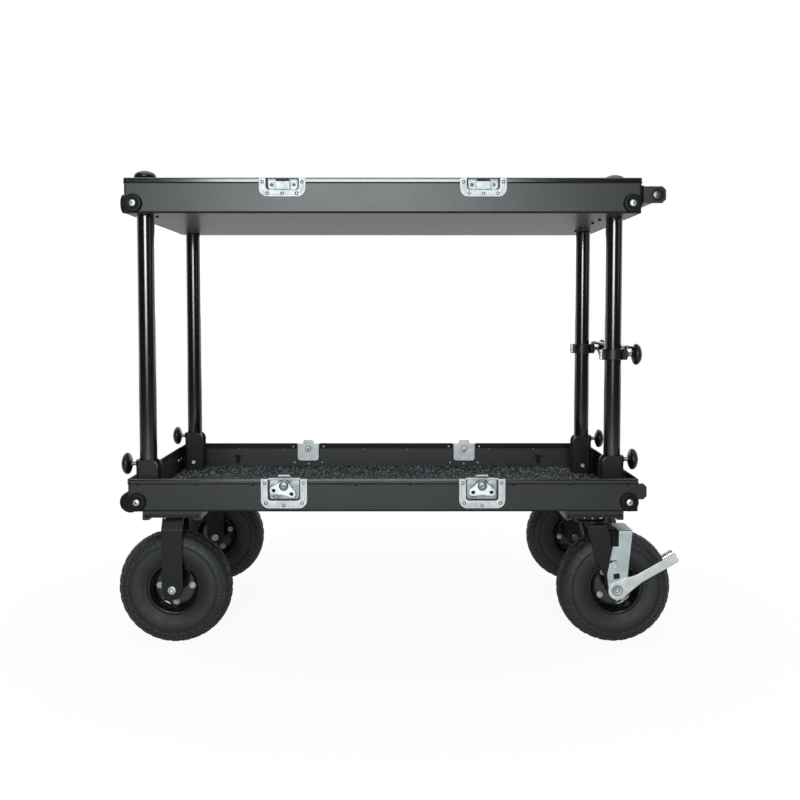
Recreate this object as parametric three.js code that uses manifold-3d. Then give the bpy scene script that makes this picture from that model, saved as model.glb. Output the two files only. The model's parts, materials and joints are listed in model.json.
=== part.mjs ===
// Two-shelf camera cart with folding posts, ten-inch casters and butterfly latches.
// Millimetres. X runs along the cart, Y across it, Z up from the floor.
import * as THREE from 'three';
import { mergeVertices } from 'three/addons/utils/BufferGeometryUtils.js';
import Module from 'manifold-3d';

const wasm = await Module();
wasm.setup();
const { Manifold, Mesh: SolidMesh } = wasm;

// Driving sizes
const wheelDiameter = 254;
const tyreWidth = 76;
const casterHeadroom = 47;
const trayLength = 1118;
const trayWidth = 640;
const lowerTrayDepth = 72;
const upperTrayDepth = 76;
const trayRise = 650;
const postDiameter = 38.1;
const postEndInset = 35;
const leftPostSideInset = 50;
const rightPostSideInset = 118;
const casterEndInset = 95;
const casterSideInset = 45.5;
const casterTrail = 50;
const latchOffset = 217;
const tieHeight = 336;

// Shared fits and finishes of an edge
const fit = 0.3;
const runOver = 6;
const weld = 0.002;
const seatSink = 0.012;
const fineSteps = 16;
const roundSteps = 12;
const knobSteps = 10;
const smallSteps = 8;
const boltSteps = 6;
const cornerSteps = 2;

// Heights and places that follow from the driving sizes
const wheelRadius = wheelDiameter / 2;
const lowerTrayBottom = wheelDiameter + casterHeadroom;
const upperTrayBottom = lowerTrayBottom + trayRise;
const postRadius = postDiameter / 2;
const postX = trayLength / 2 - postEndInset;
const leftPostY = trayWidth / 2 - leftPostSideInset;
const rightPostY = trayWidth / 2 - rightPostSideInset;
const casterX = trayLength / 2 - casterEndInset;
const casterY = trayWidth / 2 - casterSideInset;

// Tray sheet, rim band and bumpers
const tray = {
  wall: 2.5,
  floor: 3,
  cornerRadius: 5,
  bend: 3,
  bandHeight: 11.5,
  bandProud: 1.4,
};
const bumper = { radius: 19.5, thickness: 8, edge: 2.5, inset: 20, lift: 21, sink: 1 };
const roller = { radius: 23, width: 30, sideInset: 6, centreInset: 3, lift: 19 };
const carpet = { thickness: 6, margin: 1.5, cornerRadius: 4, bracketMargin: 2 };

// Post brackets, their pivots and the knobs
const bracket = {
  height: 106,
  width: 49,
  sheet: 4,
  sideGap: 0.5,
  webGap: 0.6,
  bendRadius: 7,
  cornerRadius: 18,
  pivotLift: 26,
};
const pivot = { radius: 5, headRadius: 8.5, headThickness: 4 };
const post = { wall: 3, topGap: 0.7, plug: 40, footAngles: [0, Math.PI / 6, Math.PI / 3] };
const knob = {
  radius: 24.2,
  thickness: 22,
  neckRadius: 9.5,
  neckLength: 13,
  studRadius: 6,
  lockLift: 96,
  topRise: 20,
};
// The knob's grip from its neck to its crown: shares of its radius and of its thickness
const gripShares = [[0.86, 0.25], [1, 0.45], [0.75, 0.9], [0, 1]];
const socket = { radius: 23, depth: 20 };

// Butterfly latches, keepers and their recessed dishes
const dish = {
  width: 101,
  latchHeight: 65,
  keeperHeight: 41,
  cornerRadius: 18,
  sheet: 1.6,
  panWidth: 73,
  panDepth: 14,
  latchPanHeight: 49,
  keeperPanHeight: 27,
  topWall: 3,
};
const hook = {
  width: 60,
  height: 33,
  thickness: 2,
  bottomGap: 2,
  setBack: 5,
  neckWidth: 28,
  rise: 9,
  lip: 4,
  lipHeight: 3,
  stroke: 6,
};
const wing = {
  hubRadius: 11,
  hubDrop: 15,
  hubProud: 1.4,
  lobeRadius: 9,
  lobeReach: 20,
  lobeDrop: 14,
  holeRadius: 4,
  thickness: 3,
  pinRadius: 4,
};
const keeper = { width: 33, height: 19.6, setBack: 2, slotWidth: 22, slotDepth: 4, slotSink: 5 };

// Mid-height tie between the two right-hand posts
const collar = {
  height: 25,
  radius: 24.5,
  lugReach: 31,
  lugWidth: 22,
  barrelRadius: 4.5,
  barrelHeight: 22,
};
const tieBar = { width: 19, thickness: 6, cornerRadius: 6, overhang: 12, lap: 6 };
const clampKnobNeck = 12;

// Handles at the right-hand end
const pushHandle = {
  reach: 53,
  height: 36,
  top: 18,
  chamfer: 8,
  cheek: 6,
  sideInset: 3,
  tubeRadius: 12.5,
  tubeFromEnd: 16.5,
  plate: 4,
  plateMargin: 4,
  flange: 21,
  dimple: 1.5,
  rim: 1.2,
};
const endHandle = {
  sink: 1,
  reach: 25,
  height: 35,
  chamfer: 7,
  cheek: 8,
  sideInset: 22,
  barRadius: 8,
  barFromEnd: 9.5,
  plate: 4,
  top: 3,
};

// Casters
const receiver = {
  width: 128,
  length: 118,
  side: 6,
  lipReach: 19,
  lipChamfer: 5,
  depth: 19.5,
  lip: 5,
  sideInset: 2,
};
const topPlate = { thickness: 6, length: 112, cornerRadius: 4 };
const fork = {
  width: 46,
  sheet: 5,
  tyreGap: 3.5,
  crownHalf: 24,
  shoulderDrop: 26,
  bendRise: 1.7,
  footRadius: 21,
  axleRadius: 7,
  boltRadius: 9.5,
  boltHead: 6,
  spacerRadius: 12,
};
const swivel = {
  housingRadius: 40,
  housingDepth: 10,
  raceRadius: 35,
  raceDepth: 5,
  headBack: 17,
  headFront: 24,
  flareX: 35,
  flareDrop: 23,
  kneeX: 0,
  kneeDrop: 67,
  shinX: 21,
  shinDrop: 111,
  studRadius: 6.8,
  studLength: 25,
  studGap: 0.8,
};
const rim = {
  lipRadius: 58,
  lipHalfWidth: 26,
  seatRadius: 52.7,
  seatHalfWidth: 22.5,
  sheet: 3,
  discHalf: 3,
  hubRadius: 17,
  hubHalfWidth: 33,
};
const tyre = { lugDepth: 4, beadGap: 0.9 };
const lugCount = 18;
// Half of the tyre's section, from bead to crown: shares of wheel radius and of half the tyre's width
const tyreSectionShares = [[0.72, 1], [0.9, 0.9], [0.972, 0.62]];
const lugShares = [0, 1, 1];

// Foot brake on the swivel casters
const brake = {
  sheet: 3,
  sideGap: 0.5,
  bridgeGap: 2.6,
  stroke: 2.2,
  bridgeBack: 0,
  bridgeFront: 33,
  bridgeReach: 34,
  notchRise: 97,
  notchBack: -13,
  waistRise: 34,
  waistBack: -23,
  footBack: -18,
  footFront: 22,
  footRise: 23,
  screwRadius: 6,
  screwProud: 2,
  screwX: -6,
  screwRise: 54,
  windowWidth: 14,
  windowHeight: 12,
  windowX: -1,
  windowRise: 31,
};
const pedal = {
  bossRadius: 20,
  sheet: 5,
  tipX: 130.5,
  tipRise: 74,
  neckX: 55,
  neckHalf: 10,
  tipRadius: 5,
  padLength: 29,
  padSetBack: 2,
  padThickness: 6,
  padInner: 34,
  padOuter: 56.5,
  cupRadius: 11,
  cupDepth: 1.5,
};

// Finishes read from the photograph
const coatedBlack = new THREE.MeshStandardMaterial({ color: 0x34393b, roughness: 0.5, metalness: 0.35 });
const glossBlack = new THREE.MeshStandardMaterial({ color: 0x0c0e10, roughness: 0.22, metalness: 0.4 });
const zinc = new THREE.MeshStandardMaterial({ color: 0xc3c9ca, roughness: 0.36, metalness: 0.85 });
const rubber = new THREE.MeshStandardMaterial({ color: 0x25282b, roughness: 0.85, metalness: 0 });
const pile = new THREE.MeshStandardMaterial({ color: 0x2b2d2e, roughness: 1, metalness: 0 });
const castBlack = new THREE.MeshStandardMaterial({ color: 0x2c3032, roughness: 0.55, metalness: 0.3 });

// Solid operations: three.js geometry in, closed manifold solid between, three.js geometry out
function toSolid(geometry) {
  const bare = new THREE.BufferGeometry();
  bare.setAttribute('position', geometry.getAttribute('position').clone());
  if (geometry.index) bare.setIndex(geometry.index.clone());
  const merged = mergeVertices(bare, weld);
  const points = merged.getAttribute('position').array;
  const source = merged.index.array;
  const faces = [];
  let volume = 0;
  for (let i = 0; i < source.length; i += 3) {
    const [a, b, c] = [source[i], source[i + 1], source[i + 2]];
    if (a === b || b === c || a === c) continue;
    faces.push(a, b, c);
    const [p, q, r] = [a, b, c].map((k) => new THREE.Vector3().fromArray(points, k * 3));
    volume += p.dot(q.cross(r));
  }
  if (volume < 0) {
    for (let i = 0; i < faces.length; i += 3) [faces[i + 1], faces[i + 2]] = [faces[i + 2], faces[i + 1]];
  }
  return new Manifold(new SolidMesh({
    numProp: 3,
    vertProperties: new Float32Array(points),
    triVerts: new Uint32Array(faces),
  }));
}

function toGeometry(solid) {
  const mesh = solid.getMesh();
  const geometry = new THREE.BufferGeometry();
  geometry.setAttribute('position', new THREE.BufferAttribute(Float32Array.from(mesh.vertProperties), 3));
  geometry.setIndex(new THREE.BufferAttribute(Uint32Array.from(mesh.triVerts), 1));
  const faceted = geometry.toNonIndexed();
  faceted.computeVertexNormals();
  return faceted;
}

function join(...geometries) {
  return toGeometry(geometries.map(toSolid).reduce((whole, next) => whole.add(next)));
}

function cut(geometry, ...tools) {
  return toGeometry(tools.map(toSolid).reduce((whole, next) => whole.subtract(next), toSolid(geometry)));
}

function common(first, second) {
  return toGeometry(toSolid(first).intersect(toSolid(second)));
}

// Basic forms
function slab(x0, x1, y0, y1, z0, z1) {
  const body = new THREE.BoxGeometry(x1 - x0, y1 - y0, z1 - z0);
  return body.translate((x0 + x1) / 2, (y0 + y1) / 2, (z0 + z1) / 2);
}

// Two distances from the middle, taken to one side of it and put in rising order
function sided(side, near, far) {
  return [side * near, side * far].sort((a, b) => a - b);
}

// A drum along one axis from one place to another, centred on the other two coordinates given in order
function drum(axis, radius, from, to, u, v, steps = roundSteps) {
  const body = new THREE.CylinderGeometry(radius, radius, Math.abs(to - from), steps);
  const middle = (from + to) / 2;
  if (axis === 'x') return body.rotateZ(Math.PI / 2).translate(middle, u, v);
  if (axis === 'z') return body.rotateX(Math.PI / 2).translate(u, v, middle);
  return body.translate(u, middle, v);
}

// A hole's cutter: its flats lie at the radius and the fit, so a round pin always clears it
function bore(axis, radius, from, to, u, v, steps = smallSteps) {
  return drum(axis, (radius + fit) / Math.cos(Math.PI / steps), from, to, u, v, steps);
}

// A flat outline given a plain thickness, its arcs broken into steps
function extruded(shape, depth, steps) {
  return new THREE.ExtrudeGeometry(shape, { depth, bevelEnabled: false, curveSegments: steps });
}

// An outline in X and Z, given thickness along Y between two places
function sidePlate(shape, y0, y1, steps = cornerSteps * 2) {
  return extruded(shape, y1 - y0, steps).rotateX(Math.PI / 2).translate(0, y1, 0);
}

// An outline in X and Y, raised from one height to another
function flatPlate(shape, z0, z1, steps = cornerSteps) {
  return extruded(shape, z1 - z0, steps).translate(0, 0, z0);
}

// An outline in Y and Z, given length along X between two places
function endPlate(shape, x0, x1, steps = cornerSteps) {
  const body = extruded(shape, x1 - x0, steps);
  return body.rotateX(Math.PI / 2).rotateZ(Math.PI / 2).translate(x0, 0, 0);
}

// A profile of radius and height turned round the Z axis
function turned(profile, steps = roundSteps) {
  const points = profile.map(([radius, height]) => new THREE.Vector2(radius, height));
  return new THREE.LatheGeometry(points, steps).rotateX(Math.PI / 2);
}

function outline(points) {
  return new THREE.Shape(points.map(([x, y]) => new THREE.Vector2(x, y)));
}

// A rectangle with its four corner radii given from the lower left, anticlockwise
function roundedRectangle(x0, x1, y0, y1, ...corners) {
  const [lowLeft, lowRight = lowLeft, topRight = lowLeft, topLeft = lowLeft] = corners;
  const shape = new THREE.Shape();
  shape.moveTo(x0 + lowLeft, y0);
  shape.lineTo(x1 - lowRight, y0);
  if (lowRight) shape.absarc(x1 - lowRight, y0 + lowRight, lowRight, -Math.PI / 2, 0, false);
  shape.lineTo(x1, y1 - topRight);
  if (topRight) shape.absarc(x1 - topRight, y1 - topRight, topRight, 0, Math.PI / 2, false);
  shape.lineTo(x0 + topLeft, y1);
  if (topLeft) shape.absarc(x0 + topLeft, y1 - topLeft, topLeft, Math.PI / 2, Math.PI, false);
  shape.lineTo(x0, y0 + lowLeft);
  if (lowLeft) shape.absarc(x0 + lowLeft, y0 + lowLeft, lowLeft, Math.PI, Math.PI * 1.5, false);
  return shape;
}

// A rectangle centred on the origin, with one radius at all four corners
function centredRectangle(halfX, halfY, radius) {
  return roundedRectangle(-halfX, halfX, -halfY, halfY, radius);
}

// Trays
function bumperDisc() {
  const { radius, thickness, edge, sink } = bumper;
  return turned([
    [0, -sink],
    [radius, -sink],
    [radius, thickness - edge],
    [radius - edge, thickness],
    [0, thickness],
  ], smallSteps);
}

function sideBumpers() {
  const x = trayLength / 2 - bumper.inset;
  const discs = [];
  for (const endSign of [-1, 1]) {
    for (const sideSign of [-1, 1]) {
      const disc = bumperDisc().rotateX(sideSign * -Math.PI / 2);
      discs.push(disc.translate(endSign * x, sideSign * trayWidth / 2, bumper.lift));
    }
  }
  return discs;
}

function endBumpers() {
  return [-1, 1].map((sideSign) => {
    const disc = bumperDisc().rotateY(-Math.PI / 2);
    return disc.translate(-trayLength / 2, sideSign * (trayWidth / 2 - bumper.inset), bumper.lift);
  });
}

function cornerRollers() {
  const x = roller.centreInset - trayLength / 2;
  const outer = trayWidth / 2 - roller.sideInset;
  return [-1, 1].map((sideSign) => {
    return drum('y', roller.radius, ...sided(sideSign, outer - roller.width, outer), x, roller.lift);
  });
}

// The tray's plan outline, grown or shrunk all round
function trayOutline(growth) {
  const { cornerRadius } = tray;
  return centredRectangle(trayLength / 2 + growth, trayWidth / 2 + growth, cornerRadius + growth);
}

// The folded pan, open upwards, with its floor underside at zero and a band round the rim
function pan(depth, fittings) {
  const { wall, floor, bend, bandHeight, bandProud } = tray;
  const upper = flatPlate(trayOutline(0), bend, depth);
  const lower = new THREE.ExtrudeGeometry(trayOutline(-bend), {
    depth: floor,
    bevelEnabled: true,
    bevelThickness: bend,
    bevelSize: bend,
    bevelSegments: 1,
    curveSegments: cornerSteps,
  }).translate(0, 0, bend);
  const band = flatPlate(trayOutline(bandProud), depth - bandHeight, depth);
  const inside = flatPlate(trayOutline(-wall), floor, depth + runOver);
  return cut(join(upper, lower, band, ...fittings), inside);
}

// Space that one dish needs in a side wall: the pan's way through, and the band cut back to the flange
function dishCuts(depth, panHeight, flangeHeight) {
  const cuts = [];
  const halfPan = dish.panWidth / 2 + fit;
  const halfFlange = dish.width / 2 + fit;
  for (const x of [-latchOffset, latchOffset]) {
    for (const sideSign of [-1, 1]) {
      const face = trayWidth / 2;
      const through = sided(sideSign, face - tray.wall - runOver, face + runOver);
      const outside = sided(sideSign, face, face + runOver);
      const top = depth + runOver;
      cuts.push(slab(x - halfPan, x + halfPan, ...through, depth - panHeight - fit, top));
      cuts.push(slab(x - halfFlange, x + halfFlange, ...outside, depth - flangeHeight - fit, top));
    }
  }
  return cuts;
}

// Channel welded under the tray: the caster's top plate slides in from the side between its two lips
function casterReceiver() {
  const half = receiver.width / 2;
  const { side, lipReach, lipChamfer, depth, lip } = receiver;
  return outline([
    [-half, 0],
    [-half, -depth],
    [-half + lipReach - lipChamfer, -depth],
    [-half + lipReach, -depth + lip],
    [-half + side, -depth + lip],
    [-half + side, -depth + lip + topPlate.thickness + 2 * fit],
    [half - side, -depth + lip + topPlate.thickness + 2 * fit],
    [half - side, -depth + lip],
    [half - lipReach, -depth + lip],
    [half - lipReach + lipChamfer, -depth],
    [half, -depth],
    [half, 0],
  ]);
}

function receivers() {
  const channels = [];
  for (const endSign of [-1, 1]) {
    for (const sideSign of [-1, 1]) {
      const outer = trayWidth / 2 - receiver.sideInset;
      const channel = sidePlate(casterReceiver(), ...sided(sideSign, outer - receiver.length, outer));
      channels.push(channel.translate(endSign * casterX, 0, seatSink));
    }
  }
  return channels;
}

function lowerTray() {
  const handleFoot = lowerTrayDepth - tray.bandHeight - endHandle.top - endHandle.height;
  const handle = endHandleFrame().translate(trayLength / 2 - endHandle.sink, 0, handleFoot);
  const whole = pan(lowerTrayDepth, [handle, ...sideBumpers(), ...cornerRollers(), ...receivers()]);
  return cut(whole, ...dishCuts(lowerTrayDepth, dish.latchPanHeight, dish.latchHeight));
}

function postPlaces() {
  return [
    { name: 'left_near', x: -postX, y: -leftPostY, inward: 1 },
    { name: 'left_far', x: -postX, y: leftPostY, inward: 1 },
    { name: 'right_near', x: postX, y: -rightPostY, inward: -1 },
    { name: 'right_far', x: postX, y: rightPostY, inward: -1 },
  ];
}

function upperTray() {
  const top = upperTrayDepth + knob.topRise - knob.thickness - knob.neckLength;
  const bosses = postPlaces().map(({ x, y }) => drum('z', socket.radius, tray.floor / 2, top, x, y));
  const bores = postPlaces().map(({ x, y }) => {
    return bore('z', knob.studRadius, top - socket.depth, top + runOver, x, y);
  });
  const whole = join(pan(upperTrayDepth, [...sideBumpers(), ...endBumpers()]), ...bosses);
  return cut(whole, ...dishCuts(upperTrayDepth, dish.keeperPanHeight, dish.keeperHeight), ...bores);
}

function trayLining(keepClear) {
  const gap = tray.wall + carpet.margin;
  const plan = centredRectangle(trayLength / 2 - gap, trayWidth / 2 - gap, carpet.cornerRadius);
  return cut(flatPlate(plan, 0, carpet.thickness), ...keepClear);
}

function lowerCarpet() {
  const outerSide = postEndInset;
  const innerSide = bracket.width / 2 + carpet.bracketMargin;
  const half = bracketHalfDepth() + pivot.headThickness + carpet.bracketMargin;
  return trayLining(postPlaces().map(({ x, y, inward }) => {
    const [x0, x1] = [x - inward * outerSide, x + inward * innerSide].sort((a, b) => a - b);
    return slab(x0, x1, y - half, y + half, -runOver, carpet.thickness + runOver);
  }));
}

function upperCarpet() {
  const reach = socket.radius + carpet.bracketMargin;
  return trayLining(postPlaces().map(({ x, y }) => {
    return drum('z', reach, -runOver, carpet.thickness + runOver, x, y, smallSteps);
  }));
}

// Post brackets: a bent channel, open towards the middle of the cart, that the post folds out of
function bracketHalfDepth() {
  return postRadius + bracket.sideGap + bracket.sheet;
}

function postBracket() {
  const { height, width, sheet, webGap, bendRadius, cornerRadius, pivotLift } = bracket;
  const halfOut = bracketHalfDepth();
  const halfIn = halfOut - sheet;
  const back = -postRadius - webGap - sheet;
  const front = back + width;
  const inner = Math.max(bendRadius - sheet, 0);
  const outerPlan = roundedRectangle(back, front, -halfOut, halfOut, bendRadius, 0, 0, bendRadius);
  const innerPlan = roundedRectangle(back + sheet, front + runOver, -halfIn, halfIn, inner, 0, 0, inner);
  const folded = cut(flatPlate(outerPlan, 0, height), flatPlate(innerPlan, sheet, height + runOver));
  const cheek = roundedRectangle(back - runOver, front, -runOver, height, 0, 0, cornerRadius, 0);
  const channel = common(folded, sidePlate(cheek, -halfOut - runOver, halfOut + runOver));
  const headOuter = halfOut + pivot.headThickness;
  const pin = drum('y', pivot.radius, -headOuter, headOuter, 0, pivotLift, smallSteps);
  const heads = [-1, 1].map((side) => {
    const span = sided(side, halfOut - sheet / 2, headOuter);
    return drum('y', pivot.headRadius, ...span, 0, pivotLift, boltSteps);
  });
  const studHole = bore('x', knob.studRadius, back - runOver, -postRadius, 0, knob.lockLift);
  return cut(join(channel, pin, ...heads), studHole);
}

// A post: tube with an open top and a foot domed about its pivot; its pivot is the origin
function foldingPost() {
  const length = upperTrayBottom - lowerTrayBottom - tray.floor - fit - bracket.pivotLift - post.topGap;
  const foot = post.footAngles.map((angle) => {
    return [postRadius * Math.cos(angle), -postRadius * Math.sin(angle)];
  });
  const profile = [[0, -postRadius], ...foot.reverse(), [postRadius, length], [0, length]];
  const tube = turned(profile, fineSteps);
  const hollow = drum('z', postRadius - post.wall, post.plug, length + runOver, 0, 0, fineSteps);
  const eye = bore('y', pivot.radius, -postRadius - runOver, postRadius + runOver, 0, 0);
  return cut(tube, hollow, eye);
}

// A turned knob: neck and stud point down, the seat that the neck stands on is at zero
function turnedKnob(neckLength, studLength) {
  const { radius, thickness, neckRadius, studRadius } = knob;
  const grip = gripShares.map(([across, up]) => [radius * across, neckLength + thickness * up]);
  return turned([
    [0, -studLength],
    [studRadius, -studLength],
    [studRadius, 0],
    [neckRadius, 0],
    [neckRadius, neckLength],
    ...grip,
  ], knobSteps);
}

// Latches. Each is made for the near wall: the wall's outer face is at Y zero and the rim at Z zero
function recessedDish(height, panHeight) {
  const half = dish.width / 2;
  const { cornerRadius } = dish;
  const flangeOutline = roundedRectangle(-half, half, -height, 0, cornerRadius, cornerRadius, 0, 0);
  const flange = sidePlate(flangeOutline, -fit - dish.sheet, -fit, cornerSteps + 1);
  const halfPan = dish.panWidth / 2;
  const panOuter = slab(-halfPan, halfPan, -fit - dish.sheet / 2, dish.panDepth, -panHeight, 0);
  const panInner = slab(
    -halfPan + dish.sheet, halfPan - dish.sheet,
    -fit - dish.sheet - runOver, dish.panDepth - dish.sheet,
    -panHeight + dish.sheet, -dish.topWall,
  );
  return cut(join(flange, panOuter), panInner);
}

function latchDish() {
  const half = hook.neckWidth / 2 + 2 * fit;
  const slotFront = -fit - dish.sheet - runOver;
  const slotBack = hook.setBack + hook.thickness + 2 * fit;
  const slot = slab(-half, half, slotFront, slotBack, -dish.topWall - runOver, runOver);
  const [panFloor, panBack] = [dish.panDepth - dish.sheet, dish.panDepth];
  const bearing = bore('y', wing.pinRadius, panFloor - fit, panBack + runOver, 0, -wing.hubDrop, boltSteps);
  return cut(recessedDish(dish.latchHeight, dish.latchPanHeight), slot, bearing);
}

function hookPlate() {
  const { width, height, thickness, bottomGap, setBack, neckWidth, rise, lip, lipHeight, stroke } = hook;
  const low = -dish.latchPanHeight + dish.sheet + bottomGap;
  const back = setBack + thickness;
  const neckHalf = neckWidth / 2;
  const base = slab(-width / 2, width / 2, setBack, back, low, low + height);
  const neck = slab(-neckHalf, neckHalf, setBack, back, low + height / 2, rise);
  const claw = slab(-neckHalf, neckHalf, setBack - lip, back, rise - lipHeight, rise);
  const half = wing.pinRadius + fit;
  const [slotLow, slotHigh] = [-wing.hubDrop - stroke - half, -wing.hubDrop + half];
  const slot = roundedRectangle(-half, half, slotLow, slotHigh, half - weld);
  return cut(join(base, neck, claw), sidePlate(slot, setBack - runOver, setBack + runOver, cornerSteps));
}

// The wing's outline: round the hub and the two lobes, with the straight tangents between them
function wingOutline() {
  const { hubRadius, lobeRadius, lobeReach, lobeDrop } = wing;
  const lean = Math.atan2(lobeDrop, lobeReach);
  const spread = Math.acos((hubRadius - lobeRadius) / Math.hypot(lobeReach, lobeDrop));
  const [upper, lower] = [spread - lean, -spread - lean];
  const shape = new THREE.Shape();
  shape.absarc(0, 0, hubRadius, upper, Math.PI - upper, false);
  shape.absarc(-lobeReach, -lobeDrop, lobeRadius, Math.PI - upper, Math.PI - lower, false);
  shape.lineTo(0, hubRadius / Math.sin(lower));
  shape.absarc(lobeReach, -lobeDrop, lobeRadius, lower, upper, false);
  return shape;
}

// The wing turns about the pin, which is its origin
function butterflyWing() {
  const { hubRadius, hubProud, lobeReach, lobeDrop, holeRadius, thickness, pinRadius } = wing;
  const back = -fit - dish.sheet - fit;
  const front = back - thickness;
  const plate = sidePlate(wingOutline(), front, back);
  const holes = [-1, 1].map((side) => {
    return drum('y', holeRadius, front - runOver, back + runOver, side * lobeReach, -lobeDrop, boltSteps);
  });
  const hub = drum('y', hubRadius, front - hubProud, back, 0, 0, knobSteps);
  const pin = drum('y', pinRadius, back - thickness / 2, dish.panDepth - dish.sheet / 2, 0, 0, boltSteps);
  return cut(join(plate, hub, pin), ...holes);
}

function keeperDish() {
  const half = keeper.width / 2;
  const low = -dish.keeperPanHeight + dish.sheet / 2;
  const block = slab(-half, half, keeper.setBack, dish.panDepth - dish.sheet / 2, low, low + keeper.height);
  const slotHalf = keeper.slotWidth / 2;
  const middle = (keeper.setBack + dish.panDepth) / 2;
  const slot = slab(
    -slotHalf, slotHalf, middle - keeper.slotDepth / 2, middle + keeper.slotDepth / 2,
    low + keeper.height - keeper.slotSink, low + keeper.height + runOver,
  );
  return cut(join(recessedDish(dish.keeperHeight, dish.keeperPanHeight), block), slot);
}

// Tie between the right-hand posts
function clampCollar() {
  const half = collar.height / 2;
  const ring = drum('z', collar.radius, -half, half, 0, 0, fineSteps);
  const lug = slab(0, collar.lugReach, -collar.lugWidth / 2, collar.lugWidth / 2, -half, half);
  const barrelHalf = collar.barrelHeight / 2;
  const barrelX = -collar.radius - collar.barrelRadius / 2;
  const barrel = drum('z', collar.barrelRadius, -barrelHalf, barrelHalf, barrelX, 0, smallSteps);
  const postHole = bore('z', postRadius, -half - runOver, half + runOver, 0, 0, fineSteps);
  const studHole = bore('x', knob.studRadius, postRadius, collar.lugReach + runOver, 0, 0);
  return cut(join(ring, lug, barrel), postHole, studHole);
}

function flatTieBar() {
  const half = rightPostY + tieBar.overhang;
  const x0 = collar.lugReach - tieBar.lap;
  const plan = roundedRectangle(x0, x0 + tieBar.width, -half, half, tieBar.cornerRadius);
  return flatPlate(plan, 0, tieBar.thickness);
}

// Handles
function chamferedEnd(reach, height, chamfer) {
  return outline([
    [0, 0],
    [reach - chamfer, 0],
    [reach, chamfer],
    [reach, height - chamfer],
    [reach - chamfer, height],
    [0, height],
  ]);
}

function pushHandleFrame() {
  const { reach, height, chamfer, cheek, sideInset, tubeRadius, tubeFromEnd } = pushHandle;
  const { plate, plateMargin, flange, dimple, rim: edge } = pushHandle;
  const outer = trayWidth / 2 - sideInset;
  const tubeX = reach - tubeFromEnd;
  const parts = [slab(0, plate, -outer, outer, -plateMargin, height + plateMargin / 2)];
  parts.push(slab(0, flange, -outer + cheek / 2, outer - cheek / 2, 0, plate));
  parts.push(drum('y', tubeRadius, -outer + cheek / 2, outer - cheek / 2, tubeX, height / 2));
  const cups = [];
  for (const side of [-1, 1]) {
    parts.push(sidePlate(chamferedEnd(reach, height, chamfer), ...sided(side, outer - cheek, outer)));
    const cup = sided(side, outer - dimple, outer + runOver);
    cups.push(drum('y', tubeRadius + edge, ...cup, tubeX, height / 2));
  }
  const plugs = [-1, 1].map((side) => {
    return drum('y', tubeRadius - edge, ...sided(side, outer - cheek / 2, outer), tubeX, height / 2);
  });
  return join(cut(join(...parts), ...cups), ...plugs);
}

function endHandleFrame() {
  const { reach, height, chamfer, cheek, sideInset, barRadius, barFromEnd, plate } = endHandle;
  const outer = trayWidth / 2 - sideInset;
  const barX = reach - barFromEnd;
  const parts = [slab(0, plate, -outer, outer, 0, height)];
  parts.push(drum('y', barRadius, -outer + cheek / 2, outer - cheek / 2, barX, height / 2, roundSteps));
  for (const side of [-1, 1]) {
    parts.push(sidePlate(chamferedEnd(reach, height, chamfer), ...sided(side, outer - cheek, outer)));
  }
  return join(...parts);
}

// Casters. Each is made about its own mount, with Z zero at the floor
function forkInner() {
  return tyreWidth / 2 + fork.tyreGap;
}

function plateUnderside() {
  return lowerTrayBottom - receiver.depth + receiver.lip + fit;
}

// The plate ends flush with the channel at the tray's side and runs inwards from there
function casterPlate(sideSign) {
  const half = receiver.width / 2 - receiver.side - fit;
  const outer = trayWidth / 2 - receiver.sideInset - casterY;
  const [y0, y1] = sided(sideSign, outer - topPlate.length, outer);
  const z0 = plateUnderside();
  const plan = roundedRectangle(-half, half, y0, y1, topPlate.cornerRadius);
  return flatPlate(plan, z0, z0 + topPlate.thickness);
}

// Axle, its bolt heads and the spacers beside the hub
function axle(x) {
  const legMiddle = forkInner() + fork.sheet / 2;
  const tip = forkInner() + fork.sheet + fork.boltHead;
  const pin = drum('y', fork.axleRadius, -tip, tip, x, wheelRadius, boltSteps);
  const spacers = [-1, 1].map((side) => {
    const span = sided(side, rim.hubHalfWidth + fit, legMiddle);
    return drum('y', fork.spacerRadius, ...span, x, wheelRadius, smallSteps);
  });
  return [pin, ...spacers];
}

function boltHeads(x, from) {
  return [-1, 1].map((side) => {
    const span = sided(side, forkInner() + fork.sheet / 2, from + fork.boltHead);
    return drum('y', fork.boltRadius, ...span, x, wheelRadius, smallSteps);
  });
}

function rigidFork(sideSign) {
  const inner = forkInner();
  const outer = inner + fork.sheet;
  const top = plateUnderside() + topPlate.thickness / 2;
  const shoulder = plateUnderside() - fork.shoulderDrop;
  const crown = fork.crownHalf;
  const { sheet } = fork;
  const bottom = wheelRadius - fork.footRadius - runOver;
  const section = outline([
    [-outer, bottom],
    [-outer, shoulder],
    [-crown - sheet, top],
    [crown + sheet, top],
    [outer, shoulder],
    [outer, bottom],
    [inner, bottom],
    [inner, shoulder - fork.bendRise],
    [crown, top - sheet - topPlate.thickness / 2],
    [-crown, top - sheet - topPlate.thickness / 2],
    [-inner, shoulder - fork.bendRise],
    [-inner, bottom],
  ]);
  const half = fork.width / 2;
  const legOutline = new THREE.Shape();
  legOutline.moveTo(-half, top + runOver);
  legOutline.lineTo(-half, wheelRadius);
  legOutline.absarc(0, wheelRadius, half, Math.PI, Math.PI * 2, false);
  legOutline.lineTo(half, top + runOver);
  const blank = endPlate(section, -half, half);
  const legs = common(blank, sidePlate(legOutline, -outer - runOver, outer + runOver));
  return join(legs, casterPlate(sideSign), ...axle(0), ...boltHeads(0, outer));
}

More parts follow.
